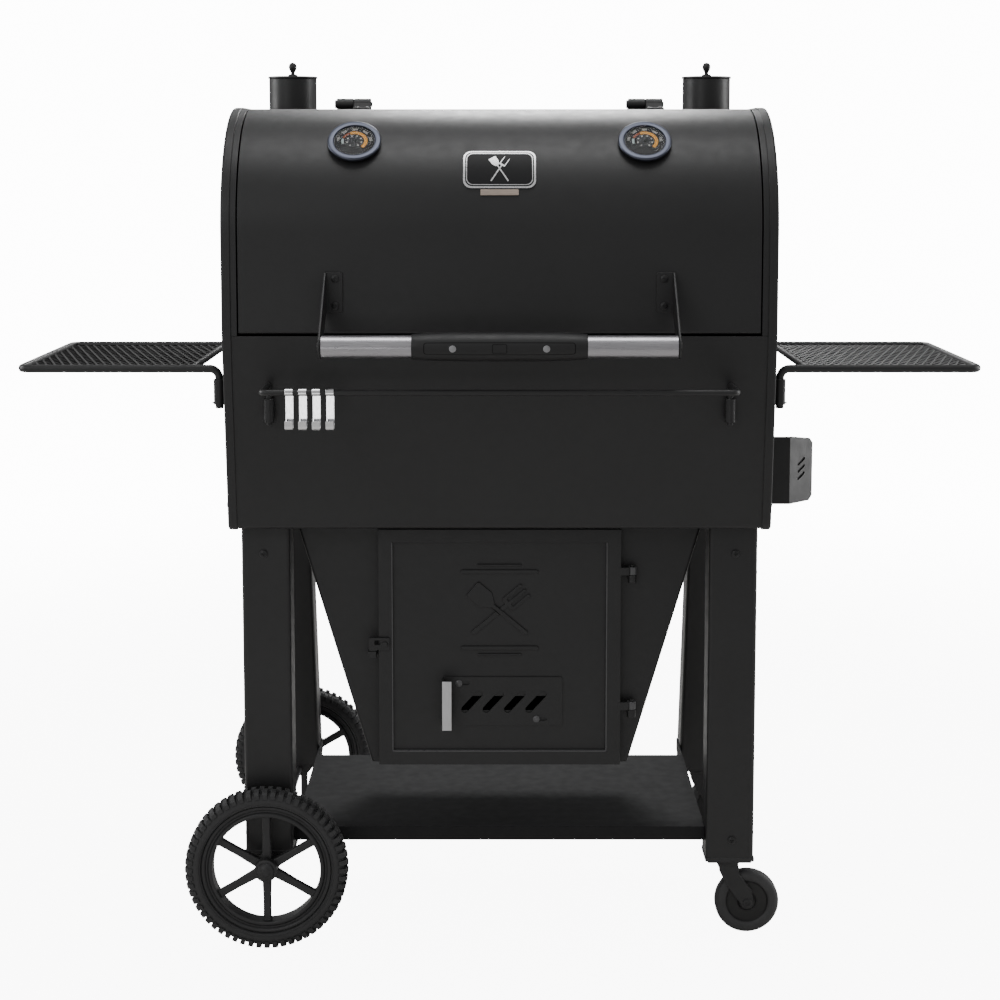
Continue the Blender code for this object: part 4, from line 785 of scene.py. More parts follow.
def make_gauges():
    """Dial thermometers: a case with a rolled bezel, a printed dial, a needle and a glass."""
    reach = FRONT_ARC * math.sqrt(0.5)
    for word, side in SIDES:
        centre = Vector((side * GAUGE_X, back(FRONT_ARC - reach), FRONT_ARC_Z + reach))
        normal = Vector((0.0, -1.0, 1.0)).normalized()
        up = Vector((0.0, 1.0, 1.0)).normalized()
        right = Vector((1.0, 0.0, 0.0))
        turn = Matrix((right, up, normal)).transposed().to_4x4()
        turn.translation = centre
        r = GAUGE_RADIUS
        case = [(0.0, -0.060), (0.0028, -0.060), (0.0040, -0.0585), (0.0040, 0.0004), (0.034, 0.0004),
                (r - 0.0010, 0.0024), (r, 0.0040), (r, 0.0066), (r - 0.0006, 0.0080), (r - 0.0020, 0.0090),
                (0.0330, 0.0090), (0.0312, 0.0084), (0.0303, 0.0060), (0.0, 0.0060)]
        piece(f"{word}_gauge_case", turned(case, turn, 96), BEZEL, "lid", f"{word}_thermometer", sharp=50.0)
        face = 0.0061
        top = face + 0.0002
        dial_turn = turn @ Matrix.Diagonal((DIAL_SCALE, DIAL_SCALE, 1.0, 1.0))
        for part, mesh, finish in (
                ("dial", disc(0.0328, face - 0.0004, face, 96), DIAL),
                ("hub_disc", disc(0.0138, face, face + 0.00015, 64), DIAL_GREY),
                ("amber", sector(0.0160, 0.0215, -46, 112, face - 0.0001, top), AMBER),
                ("rust", sector(0.0172, 0.0208, 116, 158, face - 0.0001, top), RUST),
                ("pale", sector(0.0172, 0.0208, 164, 198, face - 0.0001, top), PALE)):
            piece(f"{word}_gauge_{part}", moved(mesh, dial_turn), finish, "lid")
        marks, ticks = [], []
        for k in range(45):
            angle = 225.0 - 270.0 * k / 44
            long = k % 4 == 0
            width = 0.9 if long else 0.45
            ticks.append(sector(0.0296 if long else 0.0306, 0.0322, angle - width, angle + width,
                                face - 0.0001, top, 3))
        for k in range(8):
            angle = math.radians(236.0 - 292.0 * k / 7)
            spot = (0.0118 * math.cos(angle), 0.0118 * math.sin(angle), face)
            marks.append(moved(disc(0.0014, 0.0, 0.0004, 12), Matrix.Translation(spot)))
        for k in range(5):
            angle = math.radians(170.0 - 160.0 * k / 4)
            number = lettering(str(100 * (k + 1)), 0.0062, 0.0001)
            spin = Matrix.Rotation(angle - math.pi / 2.0, 4, "Z")
            spot = Matrix.Translation((0.0260 * math.cos(angle), 0.0260 * math.sin(angle), face + 0.0002))
            marks.append(moved(number, spot @ spin))
        piece(f"{word}_gauge_marks", moved(merged(*marks), dial_turn), WHITE, "lid")
        piece(f"{word}_gauge_ticks", moved(merged(*ticks), dial_turn), TICK_GREY, "lid")
        angle = math.radians(232.0)
        ahead = Vector((math.cos(angle), math.sin(angle)))
        across = Vector((-ahead.y, ahead.x))
        corners = [tuple(ahead * run + across * half) for run, half in
                   ((-0.007, 0.0011), (-0.007, -0.0011), (0.025, -0.0003), (0.025, 0.0003))]
        needle = prism(corners, "Z", face + 0.0006, face + 0.0010)
        boss = turned([(0.0, face), (0.0024, face), (0.0024, face + 0.0012), (0.0016, face + 0.0018),
                       (0.0, face + 0.0020)], segments=32)
        piece(f"{word}_gauge_needle", moved(merged(needle, boss), dial_turn), DIAL_GREY, "lid")
        lens = [(0.0, 0.0082), (0.020, 0.0081), (0.0304, 0.0076), (0.0304, 0.0079), (0.020, 0.0084), (0.0, 0.0085)]
        piece(f"{word}_gauge_glass", turned(lens, turn, 64), GLASS, "lid")


def on_lid(u, v, lift):
    """A point on the lid: u along X, v upwards along the curve from 28 degrees, lifted off the surface."""
    angle = math.radians(28.0) + v / FRONT_ARC
    radius = FRONT_ARC + lift
    return Vector((u, back(FRONT_ARC - radius * math.cos(angle)), FRONT_ARC_Z + radius * math.sin(angle)))


def plaque(outline, low, high):
    """A flat outline cut into strips and wrapped on the lid between two heights."""
    mesh = prism(outline, "Z", low, high)
    sliced(mesh, 1, 0.04, 0.004)
    for vertex in mesh.verts:
        vertex.co = on_lid(*vertex.co)
    bmesh.ops.recalc_face_normals(mesh, faces=mesh.faces[:])
    return mesh


def make_badge():
    """A plain oval-cornered plate with a fork and a turner crossed on it, and a small bar below."""
    middle = 0.0078
    half, rise = 0.0535, 0.0310

    def plate(inset):
        corners = rounded((-half + inset, -rise + inset), (half - inset, rise - inset), 0.012 - inset * 0.5)
        return [(x, y + middle) for x, y in corners]

    piece("badge_rim", plaque(plate(0.0), 0.0003, 0.0024), SILVER, "lid", "lid_badge", ease=0.0004)
    piece("badge_field", plaque(plate(0.0028), 0.0018, 0.0027), ENAMEL, "lid")
    line, inner = plate(0.0046), plate(0.0056)
    ring = [plaque([line[k - 1], line[k], inner[k], inner[k - 1]], 0.0022, 0.0029)
            for k in [*range(1, len(line)), 0]]
    piece("badge_fine_line", merged(*ring), SILVER, "lid")
    shaft = [(-0.0011, -0.024), (0.0011, -0.024), (0.0008, 0.006), (-0.0008, 0.006)]
    fork = [shaft, [(-0.0048, 0.006), (0.0048, 0.006), (0.0048, 0.0085), (-0.0048, 0.0085)]]
    fork += [[(x - 0.0008, 0.0080), (x + 0.0008, 0.0080), (x + 0.0003, 0.0215), (x - 0.0003, 0.0215)]
             for x in (-0.0041, 0.0041)]
    turner = [shaft, [(-0.0028, 0.006), (0.0028, 0.006), (0.0058, 0.0120), (0.0058, 0.0215),
                      (-0.0058, 0.0215), (-0.0058, 0.0120)]]
    tools = []
    for tilt, outlines in ((-32.0, fork), (32.0, turner)):
        spin = Matrix.Rotation(math.radians(tilt), 2)
        for outline in outlines:
            placed = [tuple(spin @ Vector(point) + Vector((0.0, middle))) for point in outline]
            tools.append(plaque(placed, 0.0022, 0.0032))
    piece("badge_crossed_tools", merged(*tools), SILVER, "lid")
    bar = [(x, y + middle - rise - 0.0062) for x, y in rounded((-0.028, -0.0045), (0.028, 0.0045), 0.0012)]
    piece("badge_bar", plaque(bar, 0.0003, 0.0020), TAN, "lid", ease=0.0003)


def make_handle():
    """The handle: a brushed tube, a moulded grip with a panel and rivets, and two bolted brackets."""
    y = back(BAR_BACK)
    wall = 0.0015
    tube = pipe(BAR_RADIUS, BAR_RADIUS - wall, (-BAR_HALF, y, BAR_Z), (BAR_HALF, y, BAR_Z), 0.0006, 72)
    piece("handle_tube", tube, STEEL, "lid", "lid_handle_tube")
    skin_radius, run = BAR_RADIUS + wall, GRIP_HALF - 0.0006

    def grip_radius(x):
        return skin_radius + (GRIP_RADIUS - skin_radius) * (1.0 - (x / run) ** 4)

    steps = 40
    stations = [(-1.0 + 2.0 * k / steps) * run for k in range(steps + 1)]
    profile = [(BAR_RADIUS + 0.0009, -GRIP_HALF)] + [(grip_radius(x), x) for x in stations]
    profile += [(BAR_RADIUS + 0.0009, GRIP_HALF), (BAR_RADIUS + 0.0003, GRIP_HALF),
                (BAR_RADIUS + 0.0003, -GRIP_HALF)]
    grip = turned(profile, pointing((1.0, 0.0, 0.0), (0.0, y, BAR_Z)), 72, ring=True)
    piece("handle_grip", grip, GRIP, "lid", "lid_handle_grip", sharp=50.0)
    for name, half, rise, corner, low, high, finish in (
            ("grip_groove", 0.1075, 0.0093, 0.0042, -0.0006, 0.00006, GROOVE),
            ("grip_panel", 0.1064, 0.0082, 0.0034, -0.0004, 0.00045, GRIP),
            ("grip_panel_pad_edge", 0.0105, 0.0064, 0.0018, 0.0002, 0.0006, GROOVE),
            ("grip_panel_pad", 0.0097, 0.0056, 0.0014, 0.0002, 0.0009, GRIP)):
        mesh = prism(rounded((-half, -rise), (half, rise), corner), "Z", low, high)
        sliced(mesh, 0, 0.11, 0.005)
        sliced(mesh, 1, 0.012, 0.0015)
        for vertex in mesh.verts:
            x, v, lift = vertex.co
            angle = v / GRIP_RADIUS - math.radians(3.0)
            radius = grip_radius(x) + lift
            vertex.co = (x, y - radius * math.cos(angle), BAR_Z + radius * math.sin(angle))
        bmesh.ops.recalc_face_normals(mesh, faces=mesh.faces[:])
        piece(name, mesh, finish, "lid")
    rivets = []
    tilt = math.radians(-3.0)
    direction = Vector((0.0, -math.cos(tilt), math.sin(tilt)))
    for x in (-0.0663, 0.0663):
        place = Vector((x, y, BAR_Z)) + direction * (grip_radius(x) + 0.0002)
        rivets.append(turned([(0.0, 0.0), (0.0050, 0.0), (0.0050, 0.0004), (0.0042, 0.0007), (0.0, 0.0008)],
                             pointing(direction, place), 40))
    piece("grip_rivets", merged(*rivets), RIVET, "lid")
    for word, side in SIDES:
        make_bracket(word, side)


def make_bracket(word, side):
    """A bent plate: its foot is screwed to the lid and its arm holds the tube's end."""
    plate = 0.003
    inner, outer = side * (BRACKET_X - plate / 2.0), side * (BRACKET_X + plate / 2.0)
    y = back(BAR_BACK)
    low, high = 0.985, 1.044
    arm = [(back(-0.0003), high - 0.003), (back(-0.0003), low)]
    arm += circle(0.0175, (y, BAR_Z), 24, math.radians(-60.0), math.radians(-170.0))
    arm += [(back(-0.006), high)]
    xs = sorted((inner, outer))
    foot_in = side * (BRACKET_X + plate / 2.0 - 0.027)
    fx = sorted((outer, foot_in))
    foot = prism(rounded((fx[0], low), (fx[1], high), 0.0035), "Y", back(-0.0003 - plate), back(-0.0003))
    piece(f"{word}_bracket_arm", prism(arm, "X", *xs), BLACK, "lid", f"{word}_handle_bracket", ease=0.0006)
    piece(f"{word}_bracket_foot", foot, BLACK, "lid", ease=0.0006)
    middle = (inner + foot_in) / 2.0 - side * 0.001
    screws = [phillips(0.0058, (middle, back(-0.0033), z), (0, -1, 0)) for z in (1.0345, 0.9945)]
    cap = moved(disc(0.0150, 0.0, 0.0010, 48), pointing((side, 0, 0), (side * (BAR_HALF - 0.0016), y, BAR_Z)))
    bolt = rod(0.0062, (outer, y, BAR_Z), (outer + side * 0.0026, y, BAR_Z), 0.0010)
    piece(f"{word}_bracket_screws", merged(*screws, cap, bolt), BLACK, "lid")


# ---- Smokestacks --------------------------------------------------------------------------------------

def make_stacks():
    """Two short stacks with flat caps on a threaded stud, each with a turned knob."""
    for word, side in SIDES:
        x, y = side * STACK_X, back(STACK_BACK)
        tube = pipe(STACK_RADIUS, STACK_RADIUS - SHEET, (x, y, STACK_LOW_Z), (x, y, STACK_TOP_Z), 0.0006, 96)
        bar_z = STACK_TOP_Z - 0.030
        reach = STACK_RADIUS - SHEET / 2.0
        bar = block((x - reach, y - 0.008, bar_z), (x + reach, y + 0.008, bar_z + 0.004))
        bar = carved(bar, [rod(0.0044, (x, y, bar_z - 0.01), (x, y, bar_z + 0.014))])
        piece(f"{word}_stack_tube", tube, BLACK, "cart", f"{word}_smokestack")
        piece(f"{word}_stack_bar", bar, BLACK, "cart", ease=0.0005)
        top = STACK_TOP_Z + 0.0003
        stud = [(0.0, -0.058), (0.0032, -0.058)]
        for k in range(26):
            z = -0.0570 + 0.002 * k
            stud += [(0.0034, z), (0.0040, z + 0.0010)]
        stud += [(0.0040, -0.001), (0.0040, 0.0)]
        rim = [(0.0385, 0.0), (0.0400, 0.0005), (0.0400, 0.0028), (0.0392, 0.0036), (0.0376, 0.0036),
               (0.0368, 0.0029), (0.0140, 0.0029), (0.0080, 0.0034)]
        knob = [(0.0074, 0.0036), (0.0074, 0.0062), (0.0064, 0.0070), (0.0034, 0.0076), (0.0030, 0.0100),
                (0.0040, 0.0118), (0.0052, 0.0138), (0.0062, 0.0166), (0.0067, 0.0192), (0.0062, 0.0220),
                (0.0048, 0.0246), (0.0026, 0.0260), (0.0, 0.0266)]
        cap = turned(stud + rim + knob, Matrix.Translation((x, y, top)), 72)
        piece(f"{word}_stack_lid", cap, BLACK, f"{word}_cap", f"{word}_stack_cap", sharp=40.0)


# ---- Firebox ------------------------------------------------------------------------------------------

def make_firebox():
    """The tapered hopper with rounded folds, its door opening, hinge lugs and keeper."""
    top, low_half, top_half = LOW_Z - 0.0003, 0.200, 0.315
    front, rear_low, rear_high = 0.1165, 0.345, 0.400

    def ring(z, inset):
        share = (z - HOPPER_LOW_Z) / (LOW_Z - HOPPER_LOW_Z)
        half = low_half + (top_half - low_half) * share - inset
        rear = rear_low + (rear_high - rear_low) * share - inset
        outline = rounded((-half, back(front + inset)), (half, back(rear)), max(0.001, 0.005 - inset), 5)
        return [(x, y, z) for x, y in outline]

    hopper = skin([ring(HOPPER_LOW_Z, 0.0015), ring(HOPPER_LOW_Z + 0.0015, 0.0), ring(top, 0.0), ring(top, SHEET),
                   ring(HOPPER_LOW_Z + SHEET, SHEET)])
    mouth = prism(rounded((-MOUTH_HALF, MOUTH_LOW_Z), (MOUTH_HALF, MOUTH_HIGH_Z), 0.006), "Y",
                  back(front - 0.01), back(front + 0.01))
    piece("hopper_sheet", carved(hopper, [mouth]), BLACK, "cart", "firebox_hopper", ease=0.0004)
    lugs, webs = [], []
    axis_y = back(DOOR_AXIS_BACK)
    for z in DOOR_HINGE_Z:
        low, high = z - 0.0128, z - 0.0003
        axis = (DOOR_AXIS_X, axis_y)
        lugs.append(rod(0.0068, (*axis, low), (*axis, high), 0.0007))
        lugs.append(rod(0.0030, (*axis, high - 0.002), (*axis, high + 0.0160), 0.0006, 24))
        webs.append(block((DOOR_AXIS_X - 0.003, axis_y + 0.003, low),
                          (DOOR_AXIS_X + 0.005, back(front + 0.001), high)))
    piece("door_hinge_lugs", merged(*lugs), BLACK, "cart")
    webs.append(block((-0.2035, back(DOOR_FRONT - 0.004), 0.4420), (-0.1905, back(front + 0.001), 0.4527)))
    piece("door_keeper", merged(*webs), BLACK, "cart", ease=0.0008)


def make_door():
    """The door: a raised frame, a sunk panel with an embossed sign, vents, hinge straps and screws."""
    panel = DOOR_FRONT + DOOR_RECESS
    rail = 0.0205
    mesh = block((-DOOR_HALF, back(DOOR_FRONT), DOOR_LOW_Z), (DOOR_HALF, back(DOOR_FRONT + 0.018), DOOR_HIGH_Z))
    sink = block((-DOOR_HALF + rail, back(DOOR_FRONT - 0.01), DOOR_LOW_Z + rail),
                 (DOOR_HALF - rail, back(panel), DOOR_HIGH_Z - rail))
    hollow = block((-MOUTH_HALF, back(panel + 0.003), MOUTH_LOW_Z),
                   (MOUTH_HALF, back(panel + 0.03), MOUTH_HIGH_Z))
    cutters = [sink, hollow]
    slant = 0.0055 * math.sqrt(2.0)
    for x, z in VENTS:
        cutters.append(prism([(x - slant, z), (x + slant, z), (x + slant + 0.0206, z + 0.0224),
                              (x - slant + 0.0206, z + 0.0224)], "Y", back(panel - 0.004), back(panel + 0.03)))
    piece("door_panel", carved(mesh, cutters), BLACK, "door", "firebox_door", ease=0.0016)
    # Thin strips of the lighter coat on the left, right and lower inner edges of the frame: painted highlight lines.
    highlight_strips = []
    inner, low, high = DOOR_HALF - rail, DOOR_LOW_Z + rail, DOOR_HIGH_Z - rail
    for x0, z0, x1, z1 in ((-inner, low, -inner + 0.0016, high), (inner - 0.0016, low, inner, high),
                           (-inner, low, inner, low + 0.0016)):
        highlight_strips.append(block((x0 - 0.0004, back(DOOR_FRONT + 0.0004), z0 - 0.0004), (x1, back(panel + 0.0004), z1)))
    piece("door_recess_highlight_strips", merged(*highlight_strips), HIGHLIGHT_COAT, "door", ease=0.0005, clamp=False)
    fittings = []
    head = [(0.0, 0.0), (0.0055, 0.0), (0.0054, 0.0008), (0.0044, 0.0019), (0.0024, 0.0025), (0.0, 0.0026)]
    for x, z in DAMPER_SCREWS:
        fittings.append(rod(0.0022, (x, back(panel + 0.002), z), (x, back(panel - 0.005), z), 0.0, 16))
        fittings.append(turned(head, pointing((0, -1, 0), (x, back(panel - 0.0026), z)), 32))
    for z in DOOR_HINGE_Z:
        fittings.append(pipe(0.0068, 0.0034, (DOOR_AXIS_X, back(DOOR_AXIS_BACK), z),
                             (DOOR_AXIS_X, back(DOOR_AXIS_BACK), z + 0.0125), 0.0007))
    # The knuckles and damper screw heads take the lighter coat: a painted highlight on their lit sides.
    piece("door_hinge_knuckles", merged(*fittings), HIGHLIGHT_COAT, "door")
    straps = [block((DOOR_HALF - 0.004, back(DOOR_FRONT - 0.0005), z),
                    (DOOR_AXIS_X - 0.0045, back(DOOR_AXIS_BACK) - 0.001, z + 0.0125)) for z in DOOR_HINGE_Z]
    piece("door_hinge_straps", merged(*straps), BLACK, "door", ease=0.0008)
    make_door_sign(panel)
    make_damper(panel)
    make_latch()


def make_door_sign(panel):
    """Embossed crossed fork and turner between plain bars: a generic barbecue sign."""
    high, low = back(panel - 0.0026), back(panel + 0.0004)
    middle = 0.516
    bars = []
    for _, side in SIDES:
        for half, thick, distance in ((0.060, 0.0032, 0.060), (0.034, 0.0016, 0.0705)):
            z = middle + side * distance
            bars.append(prism(rounded((-half, z - thick), (half, z + thick), thick * 0.9), "Y", high, low))
    piece("door_embossed_bars", merged(*bars), BLACK, "door", ease=0.0010, clamp=False)

    def place(points, tilt):
        spin = Matrix.Rotation(math.radians(tilt), 2)
        return [tuple(spin @ Vector(point) + Vector((0.0, middle - 0.002))) for point in points]

    shaft = rounded((-0.0036, -0.056), (0.0036, 0.019), 0.0034)
    fork = [shaft, rounded((-0.0125, 0.014), (0.0125, 0.0210), 0.0030)]
    fork += [rounded((x - 0.0024, 0.017), (x + 0.0024, 0.053), 0.0022) for x in (-0.0101, 0.0, 0.0101)]
    turner = [shaft, [(-0.0050, 0.014), (0.0050, 0.014), (0.0150, 0.0280), (0.0150, 0.0530), (0.0125, 0.0555),
                      (-0.0125, 0.0555), (-0.0150, 0.0530), (-0.0150, 0.0280)]]
    solids = [prism(place(points, -50.0), "Y", high, low) for points in fork]
    solids += [prism(place(points, 50.0), "Y", high - 0.0002, low + 0.0002) for points in turner]
    sign = solids[0]
    for solid in solids[1:]:
        sign = carved(sign, [solid], "UNION")
    piece("door_embossed_tools", sign, BLACK, "door", ease=0.0010, clamp=False)


def make_damper(panel):
    """The sliding damper plate with slots, its folded edge and its steel handle."""
    rear, front = back(panel - 0.0003), back(panel - 0.0023)
    holes = [stadium((x, z), (x + 0.014, z), 0.0027) for x, z in DAMPER_SCREWS]
    holes += [stadium((x + 0.002, z + 0.002), (x + 0.0240, z + 0.0260), 0.0055) for x, z in VENTS]
    outline = rounded((DAMPER_LEFT, DAMPER_LOW_Z), (DAMPER_RIGHT, DAMPER_HIGH_Z), 0.004)
    piece("damper_plate", prism(outline, "Y", front, rear, holes), BLACK, "damper", "door_damper", ease=0.00035)
    tip = back(0.0723)
    web = prism(rounded((tip, DAMPER_LOW_Z + 0.0008), (front + 0.001, DAMPER_HIGH_Z - 0.0005), 0.0012, 3), "X",
                DAMPER_LEFT, DAMPER_LEFT + SHEET)
    piece("damper_folded_edge", web, BLACK, "damper", ease=0.0003)
    bend_z = DAMPER_HIGH_Z - 0.0165
    side_view = [(back(0.0700), DAMPER_LOW_Z), (back(0.0720), DAMPER_LOW_Z), (back(0.0720), bend_z),
                 (back(0.0732), DAMPER_HIGH_Z), (back(0.0712), DAMPER_HIGH_Z), (back(0.0700), bend_z)]
    tab = prism(side_view, "X", DAMPER_LEFT, DAMPER_LEFT + 0.0145)
    piece("damper_tab", tab, TAB_STEEL, "damper", "damper_handle", ease=0.0006)


def make_latch():
    """The drop latch on the door's left edge: a lever with a window, and its pivot."""
    rear = back(DOOR_FRONT - 0.0003)
    outline = [(-0.2015, 0.4535), (-0.1910, 0.4535), (-0.1880, 0.4550), (-0.1702, 0.4550), (-0.1697, 0.4556),
               (-0.1697, 0.4732), (-0.1703, 0.4740), (-0.2010, 0.4740), (-0.2015, 0.4734)]
    window = rounded((-0.1930, 0.4630), (-0.1840, 0.4700), 0.001, 3)
    lever = prism(outline, "Y", rear - 0.004, rear, [window])
    piece("latch_lever", lever, BLACK, "latch", "door_latch", ease=0.0005)
    pivot = rod(0.0045, (-0.1770, rear - 0.001, 0.4637), (-0.1770, rear - 0.0065, 0.4637), 0.0009)
    piece("latch_pivot_head", pivot, BLACK, "latch")


# ---- Cart ---------------------------------------------------------------------------------------------

def rear_leg_front(z):
    """How far back a rear leg's front face stands at a height."""
    return REAR_LEG_HIGH_BACK + REAR_LEG_RAKE * (LOW_Z - z) / (LOW_Z - 0.125)


def make_legs():
    """Four folded box-section legs with rounded corners: the front pair upright, the rear pair raked back."""
    high = LOW_Z - 0.0003
    for word, side in SIDES:
        low = LEG_LOW_Z[word]
        for place, front_at in (("front", lambda z: FRONT_LEG_BACK), ("rear", rear_leg_front)):
            loops = []
            for z, inset in ((low, 0.0), (high, 0.0), (high, SHEET), (low, SHEET)):
                x0, x1 = sorted((side * (LEG_INNER_X + inset), side * (LEG_OUTER_X - inset)))
                near, far = back(front_at(z) + inset), back(front_at(z) + LEG_DEPTH - inset)
                loops.append([(x, y, z) for x, y in rounded((x0, near), (x1, far), 0.0055 - inset, 8)])
            leg = skin(loops, ring=True)
            piece(f"{place}_{word}_box_leg", leg, BLACK, "cart", f"{place}_{word}_leg")


def make_cart():
    """Rebuilt box legs; the shelf, brackets, ledges and caster plates keep their CAD solids; screws and leg plugs
    are added.
    """
    make_legs()
    dress("bottom_shelf", SHELF_BLACK, 0.0008)
    for place in ("front", "rear"):
        dress(f"{place}_axle_bracket", BLACK, 0.0010)
        dress(f"{place}_grate_ledge", BLACK, 0.0004)
        dress(f"{place}_caster_plate", BLACK, 0.0003)
    screws = []
    for x, z in ((-0.3605, 0.609), (0.3605, 0.609), (0.3605, 0.157)):
        screws.append(phillips(0.0062, (x, back(FRONT_LEG_BACK), z), (0, -1, 0)))
    for _, side in SIDES:
        for z in (0.630, 0.575, 0.160):
            screws.append(phillips(0.0062, (side * LEG_OUTER_X, back(0.108), z), (side, 0, 0)))
    piece("leg_screws", merged(*screws), BLACK, "cart")
    plugs = []
    for word, side in SIDES:
        low = LEG_LOW_Z[word]
        x0, x1 = sorted((side * LEG_INNER_X, side * LEG_OUTER_X))
        outline = rounded((x0 - 0.0008, back(0.0772)), (x1 + 0.0016, back(0.1388)), 0.004)
        plugs.append(prism(outline, "Z", low - 0.0002, low + 0.0065))
    piece("front_leg_plugs", merged(*plugs), RIM, "cart", ease=0.0014)


def lugged_tyre(word, turn):
    """A rubber tyre with a rounded carcass and two rows of tread blocks that wrap on to its sides."""
    half = 0.0195
    carcass = [(0.0997, -0.0125), (0.1010, -0.0165), (0.1035, -0.0183), (0.1075, -0.0188), (0.1120, -0.0180),
               (0.1158, -0.0160), (0.1185, -0.0130), (0.1203, -0.0090), (0.1212, -0.0045), (0.1214, 0.0)]
    carcass += [(r, -h) for r, h in carcass[-2::-1]]
    parts = [turned(carcass, segments=160, ring=True)]
    bead = [(0.1022, -0.0176), (0.1030, -0.0190), (0.1040, -0.0190), (0.1048, -0.0180)]
    for flip in (1.0, -1.0):
        parts.append(turned([(r, h * flip) for r, h in bead + [(0.1035, -0.0160)]], segments=160, ring=True))
    lugs = 60
    step = 2.0 * math.pi / lugs
    foot, crest = step * 0.29, step * 0.25
    for k in range(lugs):
        for side, offset in ((-1.0, 0.0), (1.0, 0.5)):
            middle = step * (k + offset)
            section = [(0.1212, side * 0.0008), (WHEEL_RADIUS, side * 0.0018), (WHEEL_RADIUS, side * 0.0105),
                       (0.1232, side * 0.0160), (0.1192, side * 0.0190), (0.1130, side * half),
                       (0.1128, side * 0.0180), (0.1165, side * 0.0148)]
            loops = []
            for angle, edge in ((middle - foot, 0.0007), (middle - crest, 0.0),
                                (middle + crest, 0.0), (middle + foot, 0.0007)):
                row = []
                for radius, height in section:
                    shrink = edge if radius > 0.1125 else 0.0
                    row.append(((radius - shrink) * math.cos(angle), (radius - shrink) * math.sin(angle), height))
                loops.append(row)
            parts.append(skin(loops))
    tyre = moved(merged(*parts), turn)
    piece(f"{word}_lugged_tyre", tyre, TYRE, f"{word}_wheel_set", f"{word}_tyre", sharp=32.0)


def spoked_wheel(word, turn):
    """A moulded wheel: a stepped rim, six ribbed spokes, and a hub with a push-on cap."""
    rim = [(0.0830, -0.0125), (0.0842, -0.0135), (0.0870, -0.0138), (0.0890, -0.0125), (0.0905, -0.0105),
           (0.0928, -0.0105), (0.0945, -0.0130), (0.0968, -0.0140), (0.0990, -0.0136), (0.1003, -0.0115)]
    rim += [(r, -h) for r, h in rim[::-1]]
    rim += [(0.0826, 0.0040), (0.0826, -0.0040)]
    hub = [(0.0054, -0.0200), (0.0155, -0.0200), (0.0172, -0.0188), (0.0175, -0.0170), (0.0178, 0.0170),
           (0.0172, 0.0188), (0.0155, 0.0200), (0.0054, 0.0200)]
    mesh = merged(turned(rim, segments=120, ring=True), turned(hub, segments=64, ring=True))
    piece(f"{word}_rim", moved(mesh, turn), RIM, f"{word}_wheel_set", f"{word}_wheel", sharp=40.0)
    spokes = []
    for k in range(6):
        spin = Matrix.Rotation(math.radians(60.0) * k + math.radians(30.0), 4, "Z")
        loops = []
        for along, half, thick in ((0.0160, 0.0070, 0.0062), (0.04975, 0.0058, 0.0050), (0.0795, 0.0060, 0.0052),
                                   (0.0835, 0.0076, 0.0066)):
            loops.append([(along, *point) for point in rounded((-half, -thick), (half, thick), 0.0022, 4)])
        spokes.append(moved(skin(loops), spin))
    piece(f"{word}_spokes", moved(merged(*spokes), turn), RIM, f"{word}_wheel_set", sharp=40.0)


def make_wheels():
    """The two big wheels and their axle with a push-on retainer at each end."""
    for word, distance in WHEEL_BACK.items():
        turn = pointing((0.0, 1.0, 0.0), (WHEEL_X, back(distance), WHEEL_RADIUS))
        lugged_tyre(word, turn)
        spoked_wheel(word, turn)
    axle = rod(0.005, (WHEEL_X, back(0.0215), WHEEL_RADIUS), (WHEEL_X, back(0.6540), WHEEL_RADIUS), 0.0012)
    piece("axle_bar", axle, AXLE_STEEL, "cart", "wheel_axle")
    caps = []
    for face, end, direction in ((0.0276, 0.0215, -1.0), (0.6444, 0.6540, 1.0)):
        place = (WHEEL_X, back(face), WHEEL_RADIUS)
        rise = abs(end - face)
        profile = [(0.0, 0.0), (0.0128, 0.0), (0.0134, 0.0008), (0.0122, 0.0026), (0.0090, 0.0034), (0.0072, 0.0050),
                   (0.0062, rise - 0.0006), (0.0054, rise + 0.0002), (0.0, rise + 0.0005)]
        caps.append(turned(profile, pointing((0, direction, 0), place), 48))
    piece("axle_push_caps", merged(*caps), RIM, "cart", sharp=30.0)


